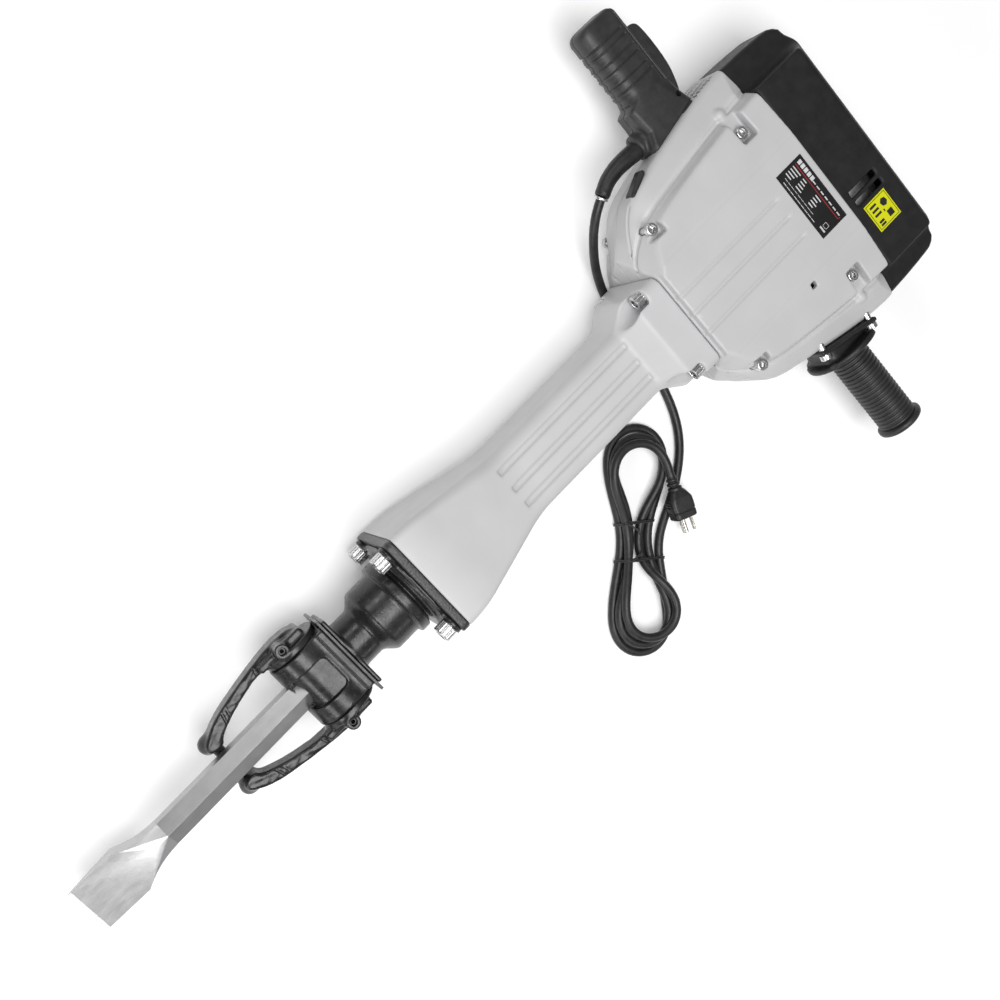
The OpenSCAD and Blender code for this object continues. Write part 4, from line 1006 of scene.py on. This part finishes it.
def settle(points, fixed_start, fixed_end, rounds=300):
    """Pushes the strands apart where they are closer than one diameter, keeps them off the floor,
    and opens bends tighter than LEAST_BEND. The lead and the tail at its two ends stay put."""
    order = np.arange(len(points))
    far = np.abs(np.subtract.outer(order, order)) > 7
    least_gap = CORD_D + 0.1
    for _ in range(rounds):
        gap = points[:, None] - points[None]
        distance = np.sqrt((gap ** 2).sum(2)) + 1e-6
        push = np.where(far & (distance < least_gap), (least_gap - distance) / distance, 0)
        move = (gap * push[:, :, None]).sum(1) * 0.3
        for reach in (2, 3, 4):
            most_bow = LEAST_BEND * (1 - math.cos(reach * CORD_GAP / LEAST_BEND))
            bow = (points[:-2 * reach] + points[2 * reach:]) / 2 - points[reach:-reach]
            size = np.linalg.norm(bow, axis=1)[:, None] + 1e-6
            ease = bow * np.maximum(1 - most_bow / size, 0) * 0.3
            move[reach:-reach] += ease
            move[:-2 * reach] -= ease / 2
            move[2 * reach:] -= ease / 2
        bend = np.zeros_like(points)
        bend[2:-2] = (-points[:-4] + 4 * points[1:-3] - 6 * points[2:-2] + 4 * points[3:-1]
                      - points[4:]) * 0.06
        moved = points + move + bend
        moved[:, 2] = np.clip(moved[:, 2], LYING_Z, TOP_Z)
        moved[:fixed_start] = points[:fixed_start]
        moved[-fixed_end:] = points[-fixed_end:]
        points = moved
    return points


def cord_route():
    lead, tail = (evenly(smoothed_route(evenly(np.array(points, float), 3), 12), CORD_GAP)
                  for points in (LEAD, TAIL))
    middle = smoothed_route(evenly(np.vstack([lead[-1:], hank_route(), tail[:1]]), CORD_GAP), 3)
    route = np.vstack([lead[:-1], middle, tail[1:]])
    return settle(route, len(lead) - 6, len(tail) - 6)


def make_cord():
    route = cord_route()
    curve = bpy.data.curves.new("mains_cord", "CURVE")
    curve.dimensions = "3D"
    curve.bevel_depth = CORD_R * MM
    curve.bevel_resolution = 5
    curve.resolution_u = 4
    curve.use_fill_caps = True
    spline = curve.splines.new("BEZIER")
    spline.bezier_points.add(len(route) - 1)
    for point, place in zip(spline.bezier_points, to_frame(route)):
        point.co = place
        point.handle_left_type = point.handle_right_type = "AUTO"
    add_piece("mains_cord", curve, "cord_lead", "cord_hank", "cord_tail")
    return route


def sweep(path, radii, sides=20, closed=False):
    """Points and faces of a tube along a path in the machine's millimetres."""
    path = np.asarray(path, float)
    radii = np.broadcast_to(radii, len(path))
    if closed:
        tangents = np.roll(path, -1, 0) - np.roll(path, 1, 0)
    else:
        tangents = np.gradient(path, axis=0)
    tangents /= np.linalg.norm(tangents, axis=1)[:, None]
    side = np.cross(tangents[0], (0.31, 0.17, 0.93))
    points = []
    angles = np.linspace(0, 2 * math.pi, sides, endpoint=False)
    for place, tangent, radius in zip(path, tangents, radii):
        side = side - tangent * side.dot(tangent)
        side /= np.linalg.norm(side)
        up = np.cross(tangent, side)
        rim = np.outer(np.cos(angles), side) + np.outer(np.sin(angles), up)
        points.append(place + radius * rim)
    return np.concatenate(points), tube_faces(len(path), sides, closed)


def make_guard():
    path = evenly(smoothed_route(evenly(np.array(GUARD, float), 2), 8), 1.5)
    at = np.linspace(0, 1, len(path))
    radii = np.interp(at, (0, 0.06, 0.1, 0.9, 0.95, 0.975, 1),
                      (9.6, 10.4, 10.5, 8.2, 8.3, 8.0, 6.6))
    add_parts("cable_guard_sleeve", "cable_guard", [sweep(path, radii, 40)])
    way = Vector(LEAD[1]) - Vector(LEAD[0])
    ring = turned([(5.1, 0), (7.2, 0), (7.6, 0.5), (7.6, 2.4), (7.2, 3), (5.1, 3)],
                  LEAD[0], way, 48)
    add_parts("guard_end_ring", "cable_guard", [ring], replace=False, material="zinc")


def plug_to_body(points):
    c, s = math.cos(PLUG_HEADING), math.sin(PLUG_HEADING)
    x, y, z = points.T
    return np.column_stack([x * c - y * s, x * s + y * c, z]) + PLUG_AT


def plug_field(x, y, z):
    radial = np.hypot(y, z)
    field = rod_field(radial, x, 5.3, -0.5, 20, 0.8)
    for k in range(3):
        rib = rod_field(radial, x, 8 - 0.6 * (2 - k), 2 + 5 * k, 5 + 5 * k, 0.9)
        field = smooth_min(field, rib, 0.8)
    half_w = np.interp(x, (15, 26, 33, 48), (8, 13.6, 13.9, 13.2))
    low = np.interp(x, (15, 26, 48), (-6.5, -11.4, -11.4))
    high = np.interp(x, (15, 24, 48), (8, 10.8, 10.8))
    body = rounded_corner(np.abs(y) - half_w, np.abs(z - (low + high) / 2) - (high - low) / 2, 5)
    body = smooth_max(body, np.maximum(15.5 - x, x - 47.9), 1.6)
    field = smooth_min(field, body, 1.5)
    seam = np.maximum(np.abs(x - 40) - 0.6, -body - 0.9)
    field = cut(field, seam, 0.4)
    side_band = np.maximum(np.abs(z) - 6, 12.6 - np.abs(y))
    for k in range(4):
        field = cut(field, np.maximum(np.abs(x - 22 - 3.4 * k) - 0.7, side_band), 0.5)
    return field


def make_plug():
    add_piece("plug_moulding", field_mesh("plug_moulding", plug_field, (-1, -14, -12), (48, 14, 12),
                                          0.7, plug_to_body), "plug_body")
    softened("plug_prongs", 0.5)


def strand_crossings(route, u):
    """Where the cord passes one place along the hank, as (across, up) pairs."""
    flat = route[:, :2] - HANK_AT
    along, across = flat @ HANK_ALONG, flat @ HANK_ACROSS
    hits = []
    for i in range(len(route) - 1):
        if (along[i] < u) != (along[i + 1] < u) and abs(across[i]) < 45:
            t = (u - along[i]) / (along[i + 1] - along[i])
            hits.append((across[i] + t * (across[i + 1] - across[i]),
                         route[i, 2] + t * (route[i + 1, 2] - route[i, 2])))
    hits = np.array(hits)
    return hits[np.abs(hits[:, 0]) < 30]


def make_ties(route):
    parts = []
    reach = CORD_R + WIRE_R
    for number, u in enumerate(TIE_SPOTS):
        hits = strand_crossings(route, u)
        for wrap in (-0.85, 0.85):
            loop = []
            for a in np.linspace(0, 2 * math.pi, 64, endpoint=False):
                way = np.array((math.cos(a), math.sin(a)))
                v, z = hits[np.argmax(hits @ way)] + reach * way
                lean = 1.6 * math.sin(a + number)
                loop.append((u + wrap + lean, v, max(z, FLOOR_Z + WIRE_R + 0.05)))
            parts.append(sweep(hank_to_body(loop), WIRE_R, 10, closed=True))
        top = hits[:, 1].max() + reach
        v0 = hits[np.argmax(hits[:, 1]), 0]
        turns, length = 3.5, 15
        for wire in (0, 1):
            twist = []
            for t in np.linspace(0, 1, 48):
                a = 2 * math.pi * turns * t + math.pi * wire
                spread = 0.78 + 2.2 * max(0, t - 0.75) * 4
                twist.append((u + spread * math.cos(a) + 9 * t * (1 - 2 * number),
                              v0 + length * t,
                              top + 0.3 + spread * 0.9 * math.sin(a) - 4.5 * t * t + 1.5 * t))
            parts.append(sweep(hank_to_body(twist), WIRE_R * 0.95, 10))
    add_parts("cord_ties_wire", "cord_ties", parts, 60)


# ---- Labels ----

def box_part(lo, hi):
    points = [(x, y, z) for z in (lo[2], hi[2]) for y in (lo[1], hi[1]) for x in (lo[0], hi[0])]
    faces = [(0, 2, 3, 1), (4, 5, 7, 6), (0, 1, 5, 4), (2, 6, 7, 3), (0, 4, 6, 2), (1, 3, 7, 5)]
    return points, faces


PLATE_TOP = 68.42
LABEL_TOP = 62.5


def print_bars(name, node, material, bars, low, high):
    """Flat marks on a label. Each bar is (x from, x to, y from, y to)."""
    parts = [box_part((x0, y0, low), (x1, y1, high)) for x0, x1, y0, y1 in bars]
    add_parts(name, node, parts, replace=False, material=material)


def make_labels():
    add_parts("nameplate_card", "nameplate",
              [box_part((983, -41, FRONT_BAND_Z + 0.02), (1021, 41, PLATE_TOP))])
    plate_print = PLATE_TOP - 0.02, PLATE_TOP + 0.1
    white = [(1012.4, 1017.6, 32.8 - 5.4 * k, 37 - 5.4 * k) for k in range(5)]
    white += [(1013, 1014.4, 6 - 7 * k, 11 - 7 * k) for k in range(7)]
    for row, x in enumerate((1005.6, 1001.8, 998, 994.2)):
        for start, length in ((37, 13 - 1.5 * row), (20, 6 + row), (-2, 9 - 2 * (row % 2))):
            white.append((x, x + 1.3, start - length, start))
    white += [(990.4, 990.9, -10 + 5.5 * k - 4.6, -10 + 5.5 * k) for k in range(9)]
    white += [(986, 986.7, -16 + 6 * k - 5.2, -16 + 6 * k) for k in range(9)]
    white += [(996.6, 997.1, -36, -30), (991.4, 991.9, -36, -30), (991.4, 997.1, -36, -35.5),
              (991.4, 997.1, -30.5, -30), (987.6, 989.6, -37, -29)]
    print_bars("nameplate_print", "nameplate", "white_print", white, *plate_print)
    print_bars("nameplate_rules", "nameplate", "red_print",
               [(1009.4, 1010.2, -38, 37), (1009.4, 1013.2, -38, -37.2)], *plate_print)
    softened("noise_label", 0.15)
    black = [(1046, 1046.6, -83, -53), (1075.4, 1076, -83, -53), (1046, 1076, -83, -82.4),
             (1046, 1076, -53.6, -53)]
    black += [(1049.4, 1059, -59 - 5.2 * k, -56.4 - 5.2 * k) for k in range(3)]
    black += [(1049.4, 1056.5, -77.5, -74.8), (1049.4, 1056.5, -81, -78.6)]
    black += [(1064, 1071.5, -79.5, -72), (1062, 1063.6, -71, -68)]
    print_bars("noise_label_print", "noise_label", "black_print", black,
               LABEL_TOP - 0.1, LABEL_TOP + 0.12)
    glyph = turned([(1.6, 0), (4.8, 0), (4.8, 0.12), (1.6, 0.12)], (1068, -62, LABEL_TOP),
                   (0, 0, 1), 6)
    add_parts("noise_label_glyph", "noise_label", [glyph], replace=False, material="black_print")


# ---- Build ----

BEVELLED = {"flat_chisel": 0.6, "retainer_plate": 0.6, "bail_crossbar": 1.2, "bail_roll_pins": 0.4,
            "handle_screws": 0.3, "trigger_pin": 0.3, "cap_screws": 0.3}

make_camera()
cord_points = make_cord()
make_floor()
make_lights()
paint_cad_nodes()
make_covers()
make_cap()
make_neck()
make_retainer()
make_trigger_handle()
make_aux_handle()
make_bolts()
make_guard()
make_plug()
make_ties(cord_points)
make_labels()
for cad_node, edge in BEVELLED.items():
    softened(cad_node, edge)
